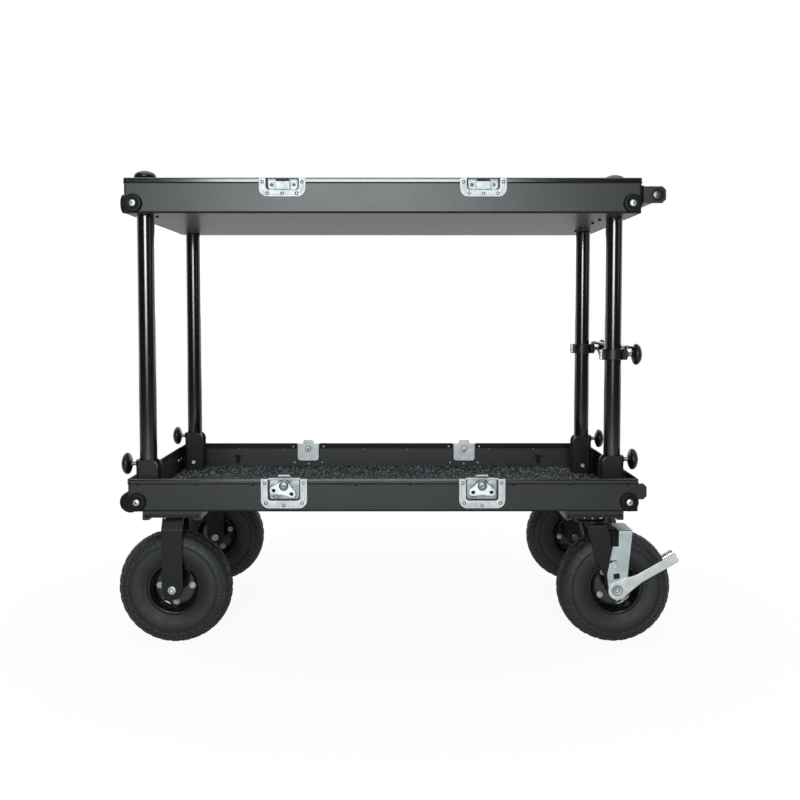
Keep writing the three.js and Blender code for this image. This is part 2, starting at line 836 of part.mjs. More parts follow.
function swivelPlate(sideSign) {
  const under = plateUnderside();
  const housing = turned([
    [0, under - swivel.housingDepth],
    [swivel.housingRadius - runOver, under - swivel.housingDepth],
    [swivel.housingRadius, under - swivel.housingDepth / 2],
    [swivel.housingRadius, under + topPlate.thickness / 2],
    [0, under + topPlate.thickness / 2],
  ], roundSteps);
  return join(casterPlate(sideSign), housing);
}

// The legs trail behind the swivel axis and flare below the head; the brake's stud is on the outer leg
function swivelFork(sideSign) {
  const inner = forkInner();
  const outer = inner + fork.sheet;
  const raceTop = plateUnderside() - swivel.housingDepth - fit;
  const crownTop = raceTop - swivel.raceDepth;
  const crownBottom = crownTop - fork.sheet;
  const section = outline([
    [-outer, 0],
    [-outer, crownTop],
    [outer, crownTop],
    [outer, 0],
    [inner, 0],
    [inner, crownBottom],
    [-inner, crownBottom],
    [-inner, 0],
  ]);
  const { headBack, headFront, flareX, flareDrop, kneeX, kneeDrop, shinX, shinDrop } = swivel;
  const r = fork.footRadius;
  const legOutline = new THREE.Shape();
  legOutline.moveTo(-headBack, crownTop + runOver);
  legOutline.lineTo(-headBack, crownTop);
  legOutline.lineTo(kneeX, crownTop - kneeDrop);
  legOutline.lineTo(shinX, crownTop - shinDrop);
  legOutline.lineTo(casterTrail - r, wheelRadius);
  legOutline.absarc(casterTrail, wheelRadius, r, Math.PI, Math.PI * 2, false);
  legOutline.lineTo(flareX, crownTop - flareDrop);
  legOutline.lineTo(headFront, crownTop);
  legOutline.lineTo(headFront, crownTop + runOver);
  const blank = endPlate(section, -headBack, casterTrail + r);
  const legs = common(blank, sidePlate(legOutline, -outer - runOver, outer + runOver));
  const race = drum('z', swivel.raceRadius, crownTop - fork.sheet / 2, raceTop, 0, 0, roundSteps);
  const { studRadius, studLength, studGap } = swivel;
  const studBottom = wheelRadius + brake.notchRise + studGap;
  const studTop = studBottom + studLength;
  const studX = casterTrail + brake.bridgeBack - studGap - studRadius;
  const stud = drum('z', studRadius, studBottom, studTop, studX, sideSign * outer, smallSteps);
  return join(legs, race, stud, ...axle(casterTrail));
}

function wheelRim() {
  const { lipRadius, lipHalfWidth, seatRadius, seatHalfWidth } = rim;
  const { sheet, discHalf, hubRadius, hubHalfWidth } = rim;
  const hole = (fork.axleRadius + fit) / Math.cos(Math.PI / roundSteps);
  const half = [
    [hole, hubHalfWidth],
    [hubRadius, hubHalfWidth],
    [hubRadius, discHalf],
    [seatRadius - sheet, discHalf],
    [seatRadius - sheet, seatHalfWidth],
    [lipRadius - sheet, lipHalfWidth],
    [lipRadius, lipHalfWidth],
    [seatRadius, seatHalfWidth],
  ];
  const other = half.map(([radius, height]) => [radius, -height]).reverse();
  const body = turned([...half, ...other, half[0]]);
  return toGeometry(toSolid(body)).rotateX(-Math.PI / 2);
}

// The tyre: its section swept round the axle, with notches between the shoulder lugs
function lugTyre() {
  const bead = { radius: rim.seatRadius + fit, half: rim.seatHalfWidth - tyre.beadGap, lug: 0 };
  const side = [bead, ...tyreSectionShares.map(([across, wide], i) => {
    return { radius: across * wheelRadius, half: wide * tyreWidth / 2, lug: lugShares[i] };
  })];
  const otherSide = side.map((point) => ({ ...point, half: -point.half })).reverse();
  const section = [...side, { radius: wheelRadius, half: 0, lug: 0 }, ...otherSide];
  const steps = lugCount * 2;
  const positions = [];
  for (let i = 0; i < steps; i += 1) {
    const angle = i * Math.PI * 2 / steps;
    const notch = i % 2 ? tyre.lugDepth : 0;
    for (const { radius, half, lug } of section) {
      const r = radius - lug * notch;
      positions.push(r * Math.cos(angle), half, r * Math.sin(angle));
    }
  }
  const faces = [];
  const count = section.length;
  for (let i = 0; i < steps; i += 1) {
    const next = (i + 1) % steps;
    for (let j = 0; j < count; j += 1) {
      const k = (j + 1) % count;
      const [a, b, c, d] = [i * count + j, i * count + k, next * count + k, next * count + j];
      faces.push(a, b, c, a, c, d);
    }
  }
  const geometry = new THREE.BufferGeometry();
  geometry.setAttribute('position', new THREE.Float32BufferAttribute(positions, 3));
  geometry.setIndex(faces);
  return toGeometry(toSolid(geometry));
}

// Brake yoke: a plate on the outer side and a bridge over the tyre, with the wheel centre as origin
function brakeYoke(sideSign) {
  const inner = forkInner() + fork.sheet + brake.sideGap;
  const outer = inner + brake.sheet;
  const low = wheelRadius + brake.bridgeGap;
  const top = low + brake.sheet;
  const side = new THREE.Shape();
  side.moveTo(brake.bridgeBack, top);
  side.lineTo(brake.bridgeBack, brake.notchRise);
  side.lineTo(brake.notchBack, brake.notchRise);
  side.lineTo(brake.waistBack, brake.waistRise);
  side.lineTo(brake.footBack, 0);
  side.absarc(0, 0, -brake.footBack, Math.PI, Math.PI * 2, false);
  side.lineTo(brake.footFront, brake.footRise);
  side.lineTo(brake.bridgeFront, top);
  const plate = sidePlate(side, ...sided(sideSign, inner, outer));
  const span = sided(sideSign, -brake.bridgeReach, outer);
  const bridge = slab(brake.bridgeBack, brake.bridgeFront, ...span, low, top);
  const through = sided(sideSign, inner - runOver, outer + runOver);
  const { windowX, windowRise, windowWidth, windowHeight } = brake;
  const window = slab(
    windowX - windowWidth / 2, windowX + windowWidth / 2, ...through,
    windowRise - windowHeight / 2, windowRise + windowHeight / 2,
  );
  const eye = bore('y', fork.axleRadius + brake.stroke, ...through, 0, 0);
  const head = sided(sideSign, outer - brake.sheet / 2, outer + brake.screwProud);
  const screw = drum('y', brake.screwRadius, ...head, brake.screwX, brake.screwRise, boltSteps);
  return cut(join(plate, bridge, screw), window, eye);
}

// Brake pedal on the outer side of its wheel: a cast lever with a foot pad, with the axle as origin
function brakePedal(sideSign) {
  const inner = forkInner() + fork.sheet + brake.sideGap + brake.sheet + fit;
  const outer = inner + pedal.sheet;
  const { bossRadius, tipX, tipRise, neckX, neckHalf, tipRadius } = pedal;
  const { padLength, padSetBack, padThickness, padInner, padOuter, cupRadius, cupDepth } = pedal;
  const reach = Math.hypot(tipX, tipRise);
  const lean = Math.atan2(neckHalf, neckX) + Math.acos(bossRadius / Math.hypot(neckX, neckHalf));
  const lever = new THREE.Shape();
  lever.absarc(0, 0, bossRadius, lean, Math.PI * 2 - lean, false);
  lever.lineTo(neckX, -neckHalf);
  lever.lineTo(reach - tipRadius, -neckHalf);
  lever.absarc(reach - tipRadius, tipRadius - neckHalf, tipRadius, -Math.PI / 2, 0, false);
  lever.lineTo(reach, neckHalf);
  lever.lineTo(neckX, neckHalf);
  const plate = sidePlate(lever, ...sided(sideSign, inner, outer));
  const padEnd = reach - padSetBack;
  const padFloor = neckHalf - fit;
  const padSpan = sided(sideSign, padInner, padOuter);
  const pad = slab(padEnd - padLength, padEnd, ...padSpan, padFloor, padFloor + padThickness);
  const eye = bore('y', fork.axleRadius, ...sided(sideSign, inner - runOver, outer + runOver), 0, 0);
  const cup = drum('y', cupRadius, ...sided(sideSign, outer - cupDepth, outer + runOver), 0, 0, smallSteps);
  return cut(join(plate, pad), eye, cup).rotateY(-Math.atan2(tipRise, tipX));
}

// Assembly
const cart = new THREE.Group();

function place(name, geometry, material, x = 0, y = 0, z = 0, turn = 0) {
  const mesh = new THREE.Mesh(geometry, material);
  mesh.name = name;
  mesh.position.set(x, y, z);
  mesh.rotation.z = turn;
  cart.add(mesh);
  return mesh;
}

const lowerFloor = lowerTrayBottom + tray.floor + fit;
const upperFloor = upperTrayBottom + tray.floor + fit;
const pivotHeight = lowerFloor + bracket.pivotLift;
const lowerRim = lowerTrayBottom + lowerTrayDepth;
const upperRim = upperTrayBottom + upperTrayDepth;

place('lower_tray', lowerTray(), coatedBlack, 0, 0, lowerTrayBottom);
place('upper_tray', upperTray(), coatedBlack, 0, 0, upperTrayBottom);
place('lower_carpet', lowerCarpet(), pile, 0, 0, lowerFloor);
place('upper_carpet', upperCarpet(), pile, 0, 0, upperFloor);

const topSeat = upperTrayBottom + upperTrayDepth + knob.topRise - knob.thickness - knob.neckLength;
for (const { name, x, y, inward } of postPlaces()) {
  const turn = inward > 0 ? 0 : Math.PI;
  place(`bracket_${name}`, postBracket(), coatedBlack, x, y, lowerFloor, turn);
  place(`post_${name}`, foldingPost(), glossBlack, x, y, pivotHeight, turn);
  const webOuter = postRadius + bracket.webGap + bracket.sheet + fit;
  const lock = turnedKnob(knob.neckLength, bracket.sheet + fit).rotateY(-Math.PI / 2);
  place(`lock_knob_${name}`, lock, glossBlack, x - inward * webOuter, y, lowerFloor + knob.lockLift, turn);
  const top = turnedKnob(knob.neckLength - fit, socket.depth - runOver);
  place(`top_knob_${name}`, top, glossBlack, x, y, topSeat + fit);
}

for (const [endName, x] of [['left', -latchOffset], ['right', latchOffset]]) {
  for (const [sideName, sideSign] of [['near', -1], ['far', 1]]) {
    const turn = sideSign < 0 ? 0 : Math.PI;
    const y = sideSign * trayWidth / 2;
    const tag = `${endName}_${sideName}`;
    place(`latch_dish_${tag}`, latchDish(), zinc, x, y, lowerRim, turn);
    place(`latch_hook_${tag}`, hookPlate(), zinc, x, y, lowerRim, turn);
    place(`latch_wing_${tag}`, butterflyWing(), zinc, x, y, lowerRim - wing.hubDrop, turn);
    place(`keeper_dish_${tag}`, keeperDish(), zinc, x, y, upperRim, turn);
  }
}

const collarCentre = pivotHeight + tieHeight - collar.height;
for (const [sideName, sideSign] of [['near', -1], ['far', 1]]) {
  const y = sideSign * rightPostY;
  place(`clamp_collar_${sideName}`, clampCollar(), castBlack, postX, y, collarCentre);
  const clamp = turnedKnob(clampKnobNeck, collar.lugReach - postRadius - 2 * fit).rotateY(Math.PI / 2);
  place(`clamp_knob_${sideName}`, clamp, glossBlack, postX + collar.lugReach + fit, y, collarCentre);
}
place('tie_bar', flatTieBar(), coatedBlack, postX, 0, collarCentre + collar.height / 2 + fit);

const endFace = trayLength / 2 + fit;
const pushHandleFoot = upperRim - pushHandle.top - pushHandle.height;
place('push_handle', pushHandleFrame(), coatedBlack, endFace, 0, pushHandleFoot);

for (const [sideName, sideSign] of [['near', -1], ['far', 1]]) {
  const y = sideSign * casterY;
  const wheelX = casterX + casterTrail;
  place(`rigid_fork_${sideName}`, rigidFork(sideSign), castBlack, -casterX, y, 0);
  place(`swivel_plate_${sideName}`, swivelPlate(sideSign), castBlack, casterX, y, 0);
  place(`swivel_fork_${sideName}`, swivelFork(sideSign), castBlack, casterX, y, 0);
  place(`rim_left_${sideName}`, wheelRim(), glossBlack, -casterX, y, wheelRadius);
  place(`rim_right_${sideName}`, wheelRim(), glossBlack, wheelX, y, wheelRadius);
  place(`tyre_left_${sideName}`, lugTyre(), rubber, -casterX, y, wheelRadius);
  place(`tyre_right_${sideName}`, lugTyre(), rubber, wheelX, y, wheelRadius);
  place(`brake_yoke_${sideName}`, brakeYoke(sideSign), zinc, wheelX, y, wheelRadius);
  place(`brake_pedal_${sideName}`, brakePedal(sideSign), zinc, wheelX, y, wheelRadius);
}

// The origin goes to the floor under the middle of the whole cart
const box = new THREE.Box3().setFromObject(cart);
cart.position.x = -(box.min.x + box.max.x) / 2;

export default cart;
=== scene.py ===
import json
import math

import bmesh
import bpy
from mathutils import Matrix, Vector, noise


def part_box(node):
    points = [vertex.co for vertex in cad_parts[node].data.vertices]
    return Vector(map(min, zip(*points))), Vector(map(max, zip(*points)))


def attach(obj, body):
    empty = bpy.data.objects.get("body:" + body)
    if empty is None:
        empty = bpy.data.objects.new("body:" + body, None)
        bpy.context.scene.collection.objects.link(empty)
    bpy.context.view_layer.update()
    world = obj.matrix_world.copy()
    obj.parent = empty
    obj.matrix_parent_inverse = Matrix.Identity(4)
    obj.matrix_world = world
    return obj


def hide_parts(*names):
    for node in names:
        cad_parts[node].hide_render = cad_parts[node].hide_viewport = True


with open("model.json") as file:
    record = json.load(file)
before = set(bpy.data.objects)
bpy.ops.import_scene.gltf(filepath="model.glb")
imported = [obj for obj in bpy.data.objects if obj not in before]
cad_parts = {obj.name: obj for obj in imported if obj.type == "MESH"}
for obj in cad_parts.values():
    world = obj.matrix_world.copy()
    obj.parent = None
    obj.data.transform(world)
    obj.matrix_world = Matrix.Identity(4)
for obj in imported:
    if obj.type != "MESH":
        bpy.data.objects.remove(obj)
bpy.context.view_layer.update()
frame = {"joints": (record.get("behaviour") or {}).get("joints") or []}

# Sizes are in millimetres and become metres where a mesh is made
MM = 0.001
ENDS = {"left": -1, "right": 1}
SIDES = {"near": -1, "far": 1}
CORNERS = [f"{end}_{side}" for end in ENDS for side in SIDES]
OUTWARD = {-1: "-y", 1: "+y"}
MARKS = ((-1, "a"), (1, "b"))

# Sizes shared with the solids
TRAY_LENGTH = 1118
TRAY_WIDTH = 640
WALL = 2.5
FLOOR = 3
BEND = 3
BAND_HEIGHT = 11.5
BAND_PROUD = 1.4
TRAY_CORNER = 5
FIT = 0.3
POST_RADIUS = 19.05
WHEEL_RADIUS = 127
FORK_INNER = 41.5
FORK_SHEET = 5
FORK_OUTER = FORK_INNER + FORK_SHEET
LATCH_OFFSET = 217


# Each corner's name, with its end and its side of the cart as -1 or 1
def each_corner():
    for end_name, end in ENDS.items():
        for side_name, side in SIDES.items():
            yield f"{end_name}_{side_name}", end, side


# Two places on one side of the cart, the lower one first
def span(side, first, second):
    return sorted((side * first, side * second))


# Places from the frame
def low_corner(node):
    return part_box(node)[0] / MM


def high_corner(node):
    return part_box(node)[1] / MM


def joint_place(name):
    for joint in frame["joints"]:
        if joint["name"] == name:
            return Vector(joint["pos_m"]) / MM
    raise ValueError(name)


CENTRE_X = high_corner("upper_tray").x - BAND_PROUD - TRAY_LENGTH / 2
LOWER_RIM = high_corner("lower_tray").z
UPPER_RIM = high_corner("upper_tray").z
UPPER_BOTTOM = low_corner("upper_tray").z
LOWER_BOTTOM = low_corner("lower_carpet").z - FIT - FLOOR
UPPER_DEPTH = UPPER_RIM - UPPER_BOTTOM
LOWER_DEPTH = LOWER_RIM - LOWER_BOTTOM
TRAY_END = TRAY_LENGTH / 2
TRAY_SIDE = TRAY_WIDTH / 2


# Material graph helpers
def graph(name):
    material = bpy.data.materials.new(name)
    material.use_nodes = True
    nodes = material.node_tree.nodes
    links = material.node_tree.links
    shader = nodes["Principled BSDF"]
    place = nodes.new("ShaderNodeTexCoord")
    return material, nodes, links, shader, place.outputs["Object"]


def noise_node(nodes, links, place, scale, detail=4.0, stretch=None):
    texture = nodes.new("ShaderNodeTexNoise")
    texture.inputs["Scale"].default_value = scale
    texture.inputs["Detail"].default_value = detail
    if stretch:
        mapping = nodes.new("ShaderNodeMapping")
        mapping.inputs["Scale"].default_value = stretch
        links.new(place, mapping.inputs["Vector"])
        place = mapping.outputs["Vector"]
    links.new(place, texture.inputs["Vector"])
    return texture.outputs["Fac"]


def ramp_node(nodes, links, value, stops):
    ramp = nodes.new("ShaderNodeValToRGB")
    elements = ramp.color_ramp.elements
    while len(elements) < len(stops):
        elements.new(0.5)
    for element, (position, colour) in zip(elements, stops):
        element.position = position
        element.color = (*colour, 1)
    links.new(value, ramp.inputs["Fac"])
    return ramp.outputs["Color"]


def range_node(nodes, links, value, low, high, start=0.0, stop=1.0):
    node = nodes.new("ShaderNodeMapRange")
    for socket, number in (("From Min", start), ("From Max", stop), ("To Min", low), ("To Max", high)):
        node.inputs[socket].default_value = number
    links.new(value, node.inputs["Value"])
    return node.outputs["Result"]


def math_node(nodes, links, operation, first, second):
    node = nodes.new("ShaderNodeMath")
    node.operation = operation
    for socket, value in zip(node.inputs, (first, second)):
        if isinstance(value, float):
            socket.default_value = value
        else:
            links.new(value, socket)
    return node.outputs["Value"]


def bump_node(nodes, links, height, distance, strength=1.0):
    bump = nodes.new("ShaderNodeBump")
    bump.inputs["Distance"].default_value = distance
    bump.inputs["Strength"].default_value = strength
    links.new(height, bump.inputs["Height"])
    return bump.outputs["Normal"]


def grey(value, tint=(1.0, 1.0, 1.0)):
    return tuple(value * part for part in tint)


# A surface whose colour, roughness and grain each follow a noise, given by its scale, detail and stretch
def surface(name, cloud, stops, smear, rough, grain, depth):
    material, nodes, links, shader, place = graph(name)
    clouds = noise_node(nodes, links, place, *cloud)
    links.new(ramp_node(nodes, links, clouds, stops), shader.inputs["Base Color"])
    smears = noise_node(nodes, links, place, *smear)
    links.new(range_node(nodes, links, smears, *rough), shader.inputs["Roughness"])
    grains = noise_node(nodes, links, place, *grain)
    links.new(bump_node(nodes, links, grains, depth), shader.inputs["Normal"])
    return material, shader


# A painted or coated metal: orange-peel or powder grain, cloudy roughness and faint colour drift
def painted(name, dark, light, rough_low, rough_high, grain, depth, coat=0.0, shine=0.5):
    stops = [(0.3, dark), (0.7, light)]
    rough = (rough_low, rough_high)
    material, shader = surface(name, (9.0, 3.0), stops, (26.0, 5.0), rough, (grain, 2.0), depth)
    shader.inputs["Specular IOR Level"].default_value = shine
    shader.inputs["Coat Weight"].default_value = coat
    shader.inputs["Coat Roughness"].default_value = 0.12
    return material


# Plated sheet: cloudy passivation, and a drawn grain one way in its roughness and its bump
def plated(name, dark, light, rough_low, rough_high, stretch):
    stops = [(0.32, dark), (0.62, light)]
    lines = (240.0, 3.0, stretch)
    material, shader = surface(name, (60.0, 6.0), stops, lines, (rough_low, rough_high), lines, 0.00006)
    shader.inputs["Metallic"].default_value = 1.0
    return material


def rubber_material():
    tint = (0.95, 1, 1.06)
    stops = [(0.3, grey(0.009, tint)), (0.75, grey(0.016, tint))]
    return surface("tyre_rubber", (14.0, 6.0), stops, (45.0, 4.0), (0.46, 0.7), (900.0, 2.0), 0.0002)[0]


# Short looped pile: dark loops with lighter fibres slanting across them
def pile_material():
    material, nodes, links, shader, place = graph("loop_pile")
    slant = nodes.new("ShaderNodeMapping")
    slant.inputs["Rotation"].default_value = (0, 0, math.radians(7))
    links.new(place, slant.inputs["Vector"])
    strands = noise_node(nodes, links, slant.outputs["Vector"], 270.0, 2.0, (1.0, 0.2, 1.0))
    loops = nodes.new("ShaderNodeTexVoronoi")
    loops.inputs["Scale"].default_value = 260.0
    links.new(place, loops.inputs["Vector"])
    loop_height = range_node(nodes, links, loops.outputs["Distance"], 1.08, 0.84)
    pile = math_node(nodes, links, "MULTIPLY", strands, loop_height)
    stops = [(0.44, grey(0.001)), (0.5, grey(0.012)), (0.55, grey(0.11, COOL)), (0.6, grey(0.42, COOL))]
    links.new(ramp_node(nodes, links, pile, stops), shader.inputs["Base Color"])
    links.new(bump_node(nodes, links, pile, 0.004), shader.inputs["Normal"])
    shader.inputs["Roughness"].default_value = 0.95
    return material


COOL = (0.9, 1, 1.07)
COATED = painted("satin_coat", grey(0.010, COOL), grey(0.014, COOL), 0.33, 0.39, 1400, 0.00004)
CAST = painted("fork_paint", grey(0.004, COOL), grey(0.007, COOL), 0.32, 0.39, 700, 0.00008, 0.0, 0.32)
# The brackets' copy of the satin coat, darker and less shiny: its darker colour is painted shade
SHADED_BRACKET = painted("bracket_coat_shaded", grey(0.007, COOL), grey(0.011, COOL), 0.33, 0.39, 1100, 0.00005, 0.0, 0.34)
GLOSS = painted("gloss_tube", grey(0.0025), grey(0.0045), 0.15, 0.2, 300, 0.00001, 1.0)
PLASTIC = painted("knob_plastic", grey(0.004), grey(0.008), 0.26, 0.38, 500, 0.00003)
ENAMEL = painted("rim_enamel", grey(0.003), grey(0.006), 0.14, 0.24, 260, 0.00003, 1.0)
BUMPER = painted("bumper_rubber", grey(0.003), grey(0.006), 0.4, 0.52, 800, 0.00006, 0.0, 0.17)
# Near black: the colour of some small black parts, and painted shade where it fills gaps, slots, grooves,
# holes and the feet of rivets and hubs
SHADE_AND_BLACK = painted("shade_and_black", grey(0.0015), grey(0.003), 0.8, 0.95, 400, 0.0001)
STRIP = painted("gloss_strip", grey(0.002), grey(0.004), 0.14, 0.2, 300, 0.00001, 0.7)
ZINC = plated("zinc_sheet", (0.44, 0.46, 0.46), (0.56, 0.58, 0.58), 0.46, 0.56, (1.0, 1.0, 0.08))
BRIGHT = plated("bright_zinc", (0.56, 0.58, 0.58), (0.7, 0.72, 0.72), 0.4, 0.5, (1.0, 1.0, 0.3))
# The keepers' copy of the zinc sheet, darker: painted shade
SHADED_KEEPER_ZINC = plated("keeper_zinc_shaded", (0.29, 0.305, 0.305), (0.4, 0.42, 0.42), 0.46, 0.56, (1.0, 1.0, 0.08))
HOOK_ZINC = plated("hook_zinc", (0.2, 0.215, 0.21), (0.33, 0.35, 0.345), 0.38, 0.48, (0.3, 1.0, 1.0))
STEEL = plated("dull_steel", (0.12, 0.125, 0.125), (0.24, 0.25, 0.25), 0.3, 0.46, (1.0, 1.0, 0.3))
PLATE = plated("brake_plate", (0.46, 0.5, 0.51), (0.56, 0.6, 0.61), 0.46, 0.56, (1.0, 1.0, 0.1))
LEVER = plated("cast_lever", (0.62, 0.64, 0.63), (0.74, 0.76, 0.75), 0.44, 0.56, (0.3, 1.0, 1.0))
CHROME = plated("chrome_tube", (0.7, 0.7, 0.71), (0.86, 0.87, 0.88), 0.07, 0.14, (1.0, 0.1, 1.0))
BRASS = plated("brass_stem", (0.42, 0.25, 0.08), (0.78, 0.52, 0.2), 0.2, 0.34, (1.0, 1.0, 0.4))
# The tread blocks' rubber, lighter than the tyre's: painted sheen for the light that catches the blocks'
# faces
BLOCK_SHEEN = painted("tread_block_sheen", grey(0.02, COOL), grey(0.048, COOL), 0.4, 0.52, 800, 0.00006)
RUBBER = rubber_material()
PILE = pile_material()


# Objects and meshes
def linked(name, data):
    item = bpy.data.objects.new(name, data)
    bpy.context.scene.collection.objects.link(item)
    return item


def stored(name, mesh):
    data = bpy.data.meshes.new(name)
    mesh.to_mesh(data)
    mesh.free()
    return data


def cap_ends(mesh, rings):
    mesh.faces.new(rings[0][::-1])
    mesh.faces.new(rings[-1])


# Rings of points joined into a skin. Its end caps come first or last, and a closed skin has none
def skin(rings, caps=None):
    mesh = bmesh.new()
    rings = [[mesh.verts.new(place) for place in ring] for ring in rings]
    if caps is None:
        rings.append(rings[0])
    if caps == "first":
        cap_ends(mesh, rings)
    for low, high in zip(rings, rings[1:]):
        for i in range(len(low)):
            j = (i + 1) % len(low)
            mesh.faces.new((low[i], low[j], high[j], high[i]))
    if caps == "last":
        cap_ends(mesh, rings)
    return mesh


def lathe(profile, steps=64):
    mesh = bmesh.new()
    turns = [2 * math.pi * i / steps for i in range(steps)]
    rings = []
    for radius, height in profile:
        if radius == 0:
            rings.append([mesh.verts.new((0, 0, height))])
        else:
            ring = [mesh.verts.new((radius * math.cos(a), radius * math.sin(a), height)) for a in turns]
            rings.append(ring)
    for low, high in zip(rings, rings[1:]):
        for i in range(steps):
            j = (i + 1) % steps
            corners = [low[i % len(low)], low[j % len(low)], high[j % len(high)], high[i % len(high)]]
            corners = list(dict.fromkeys(corners))
            if len(corners) > 2:
                mesh.faces.new(corners)
    bmesh.ops.remove_doubles(mesh, verts=mesh.verts, dist=0.0001)
    return mesh


def arc(x, y, radius, start, end, steps=8):
    angles = [math.radians(start + (end - start) * i / steps) for i in range(steps + 1)]
    return [(x + radius * math.cos(a), y + radius * math.sin(a)) for a in angles]


def rounded(x0, x1, y0, y1, low_left, low_right=None, top_right=None, top_left=None):
    radii = [low_left if r is None else r for r in (low_left, low_right, top_right, top_left)]
    corners = [(x0, y0, 1, 1, 180), (x1, y0, -1, 1, 270), (x1, y1, -1, -1, 0), (x0, y1, 1, -1, 90)]
    points = []
    for (x, y, sx, sy, start), radius in zip(corners, radii):
        if radius > 0:
            points += arc(x + sx * radius, y + sy * radius, radius, start, start + 90)
        else:
            points.append((x, y))
    return points


def circle(x, y, radius, steps=40):
    return arc(x, y, radius, 0, 360 - 360 / steps, steps - 1)


# The mesh of a curve that runs through loops of points
def curve_mesh(curve, loops, closed):
    for loop in loops:
        spline = curve.splines.new("POLY")
        spline.points.add(len(loop) - 1)
        for point, place in zip(spline.points, loop):
            point.co = (*place, 1)
        spline.use_cyclic_u = closed
    holder = linked("curve", curve)
    now = bpy.context.evaluated_depsgraph_get()
    flat = bpy.data.meshes.new_from_object(holder.evaluated_get(now))
    mesh = bmesh.new()
    mesh.from_mesh(flat)
    bpy.data.objects.remove(holder)
    bpy.data.curves.remove(curve)
    bpy.data.meshes.remove(flat)
    return mesh


# A flat plate with rounded edges: its outline and holes lie in X and Y, and it is thick from low to high
def plate(outline, low, high, holes=(), edge=0.5):
    curve = bpy.data.curves.new("outline", "CURVE")
    curve.dimensions = "2D"
    curve.fill_mode = "BOTH"
    edge = min(edge, (high - low) / 2.1)
    curve.extrude = (high - low) / 2 - edge
    curve.bevel_depth = edge
    curve.bevel_resolution = 1
    curve.offset = -edge
    mesh = curve_mesh(curve, [[(x, y, 0) for x, y in loop] for loop in (outline, *holes)], True)
    bmesh.ops.remove_doubles(mesh, verts=mesh.verts, dist=0.0005)
    mesh.transform(Matrix.Translation((0, 0, (low + high) / 2)))
    return mesh


# A bead of round section along a path, half sunk into the sheet it is pressed from
def bead(points, radius, closed=False):
    curve = bpy.data.curves.new("bead", "CURVE")
    curve.dimensions = "3D"
    curve.bevel_depth = radius
    curve.bevel_resolution = 3
    curve.use_fill_caps = True
    return curve_mesh(curve, [points], closed)


UPRIGHT = Matrix(((1, 0, 0, 0), (0, 0, 1, 0), (0, 1, 0, 0), (0, 0, 0, 1)))
ENDWISE = Matrix(((0, 0, 1, 0), (1, 0, 0, 0), (0, 1, 0, 0), (0, 0, 0, 1)))
ALONG_Y = Matrix.Rotation(-math.pi / 2, 4, "X")
ALONG_X = Matrix.Rotation(math.pi / 2, 4, "Y")


def moved(mesh, matrix):
    mesh.transform(matrix)
    return mesh


# The same plate standing up: outline in X and Z, thick along Y
def side_plate(outline, low, high, holes=(), edge=0.5):
    return moved(plate(outline, low, high, holes, edge), UPRIGHT)


# The same plate across the cart: outline in Y and Z, thick along X
def end_plate(outline, low, high, holes=(), edge=0.5):
    return moved(plate(outline, low, high, holes, edge), ENDWISE)


# A rod with softened rims, along Z from one height to another
def rod(radius, low, high, edge=0.6, steps=48):
    rise = edge if high > low else -edge
    soft = edge * 0.3
    profile = [
        (0, low), (radius - edge, low), (radius - soft, low + rise * 0.3), (radius, low + rise),
        (radius, high - rise), (radius - soft, high - rise * 0.3), (radius - edge, high), (0, high),
    ]
    return lathe(profile, steps)


def across(radius, low, high, x, z, edge=0.6, steps=48):
    return moved(rod(radius, low, high, edge, steps), Matrix.Translation((x, 0, z)) @ ALONG_Y)


def block(x0, x1, y0, y1, z0, z1, edge=0.5):
    return plate([(x0, y0), (x1, y0), (x1, y1), (x0, y1)], z0, z1, (), edge)


def merged(*meshes):
    whole = bmesh.new()
    for mesh in meshes:
        holder = stored("part", mesh)
        whole.from_mesh(holder)
        bpy.data.meshes.remove(holder)
    return whole


pieces = []

# Edges that turn further than this, in degrees, stay sharp
SHARP_ANGLE = 32
SOFTENED_ANGLE = 35


# Large flat faces keep their own normals, so that only the narrow edges between them look round
def even_normals():
    for piece in pieces:
        even = piece.modifiers.new("even", "WEIGHTED_NORMAL")
        even.keep_sharp = True


def make(name, mesh, material, body, place=None, smooth=SHARP_ANGLE, replaces=()):
    bmesh.ops.recalc_face_normals(mesh, faces=mesh.faces)
    mesh.transform(Matrix.Scale(MM, 4) @ (place or Matrix.Identity(4)))
    data = stored(name, mesh)
    data.materials.append(material)
    for face in data.polygons:
        face.use_smooth = True
    data.set_sharp_from_angle(angle=math.radians(smooth))
    piece = linked(name, data)
    pieces.append(piece)
    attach(piece, body)
    if replaces:
        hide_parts(*replaces)
    return piece


def at(x, y, z, turn=0.0):
    return Matrix.Translation((x, y, z)) @ Matrix.Rotation(turn, 4, "Z")


# Cuts a piece with other solids and leaves the result as its plain mesh
def cut(piece, cutters, operation="DIFFERENCE"):
    for number, cutter in enumerate(cutters):
        step = piece.modifiers.new(f"cut_{number}", "BOOLEAN")
        step.object = cutter
        step.operation = operation
        step.solver = "EXACT"
    now = bpy.context.evaluated_depsgraph_get()
    result = bpy.data.meshes.new_from_object(piece.evaluated_get(now))
    piece.modifiers.clear()
    old = piece.data
    result.set_sharp_from_angle(angle=math.radians(SHARP_ANGLE))
    piece.data = result
    bpy.data.meshes.remove(old)
    for cutter in cutters:
        bpy.data.objects.remove(cutter)


# A cutter that stands where the place says
def tool(mesh, place=Matrix.Identity(4)):
    mesh.transform(place)
    bmesh.ops.recalc_face_normals(mesh, faces=mesh.faces)
    mesh.transform(Matrix.Scale(MM, 4))
    return linked("tool", stored("tool", mesh))


# A cutter's edges are this sharp, and it reaches this far to both sides of its piece
CUT_EDGE = 0.02
CUT_REACH = 60


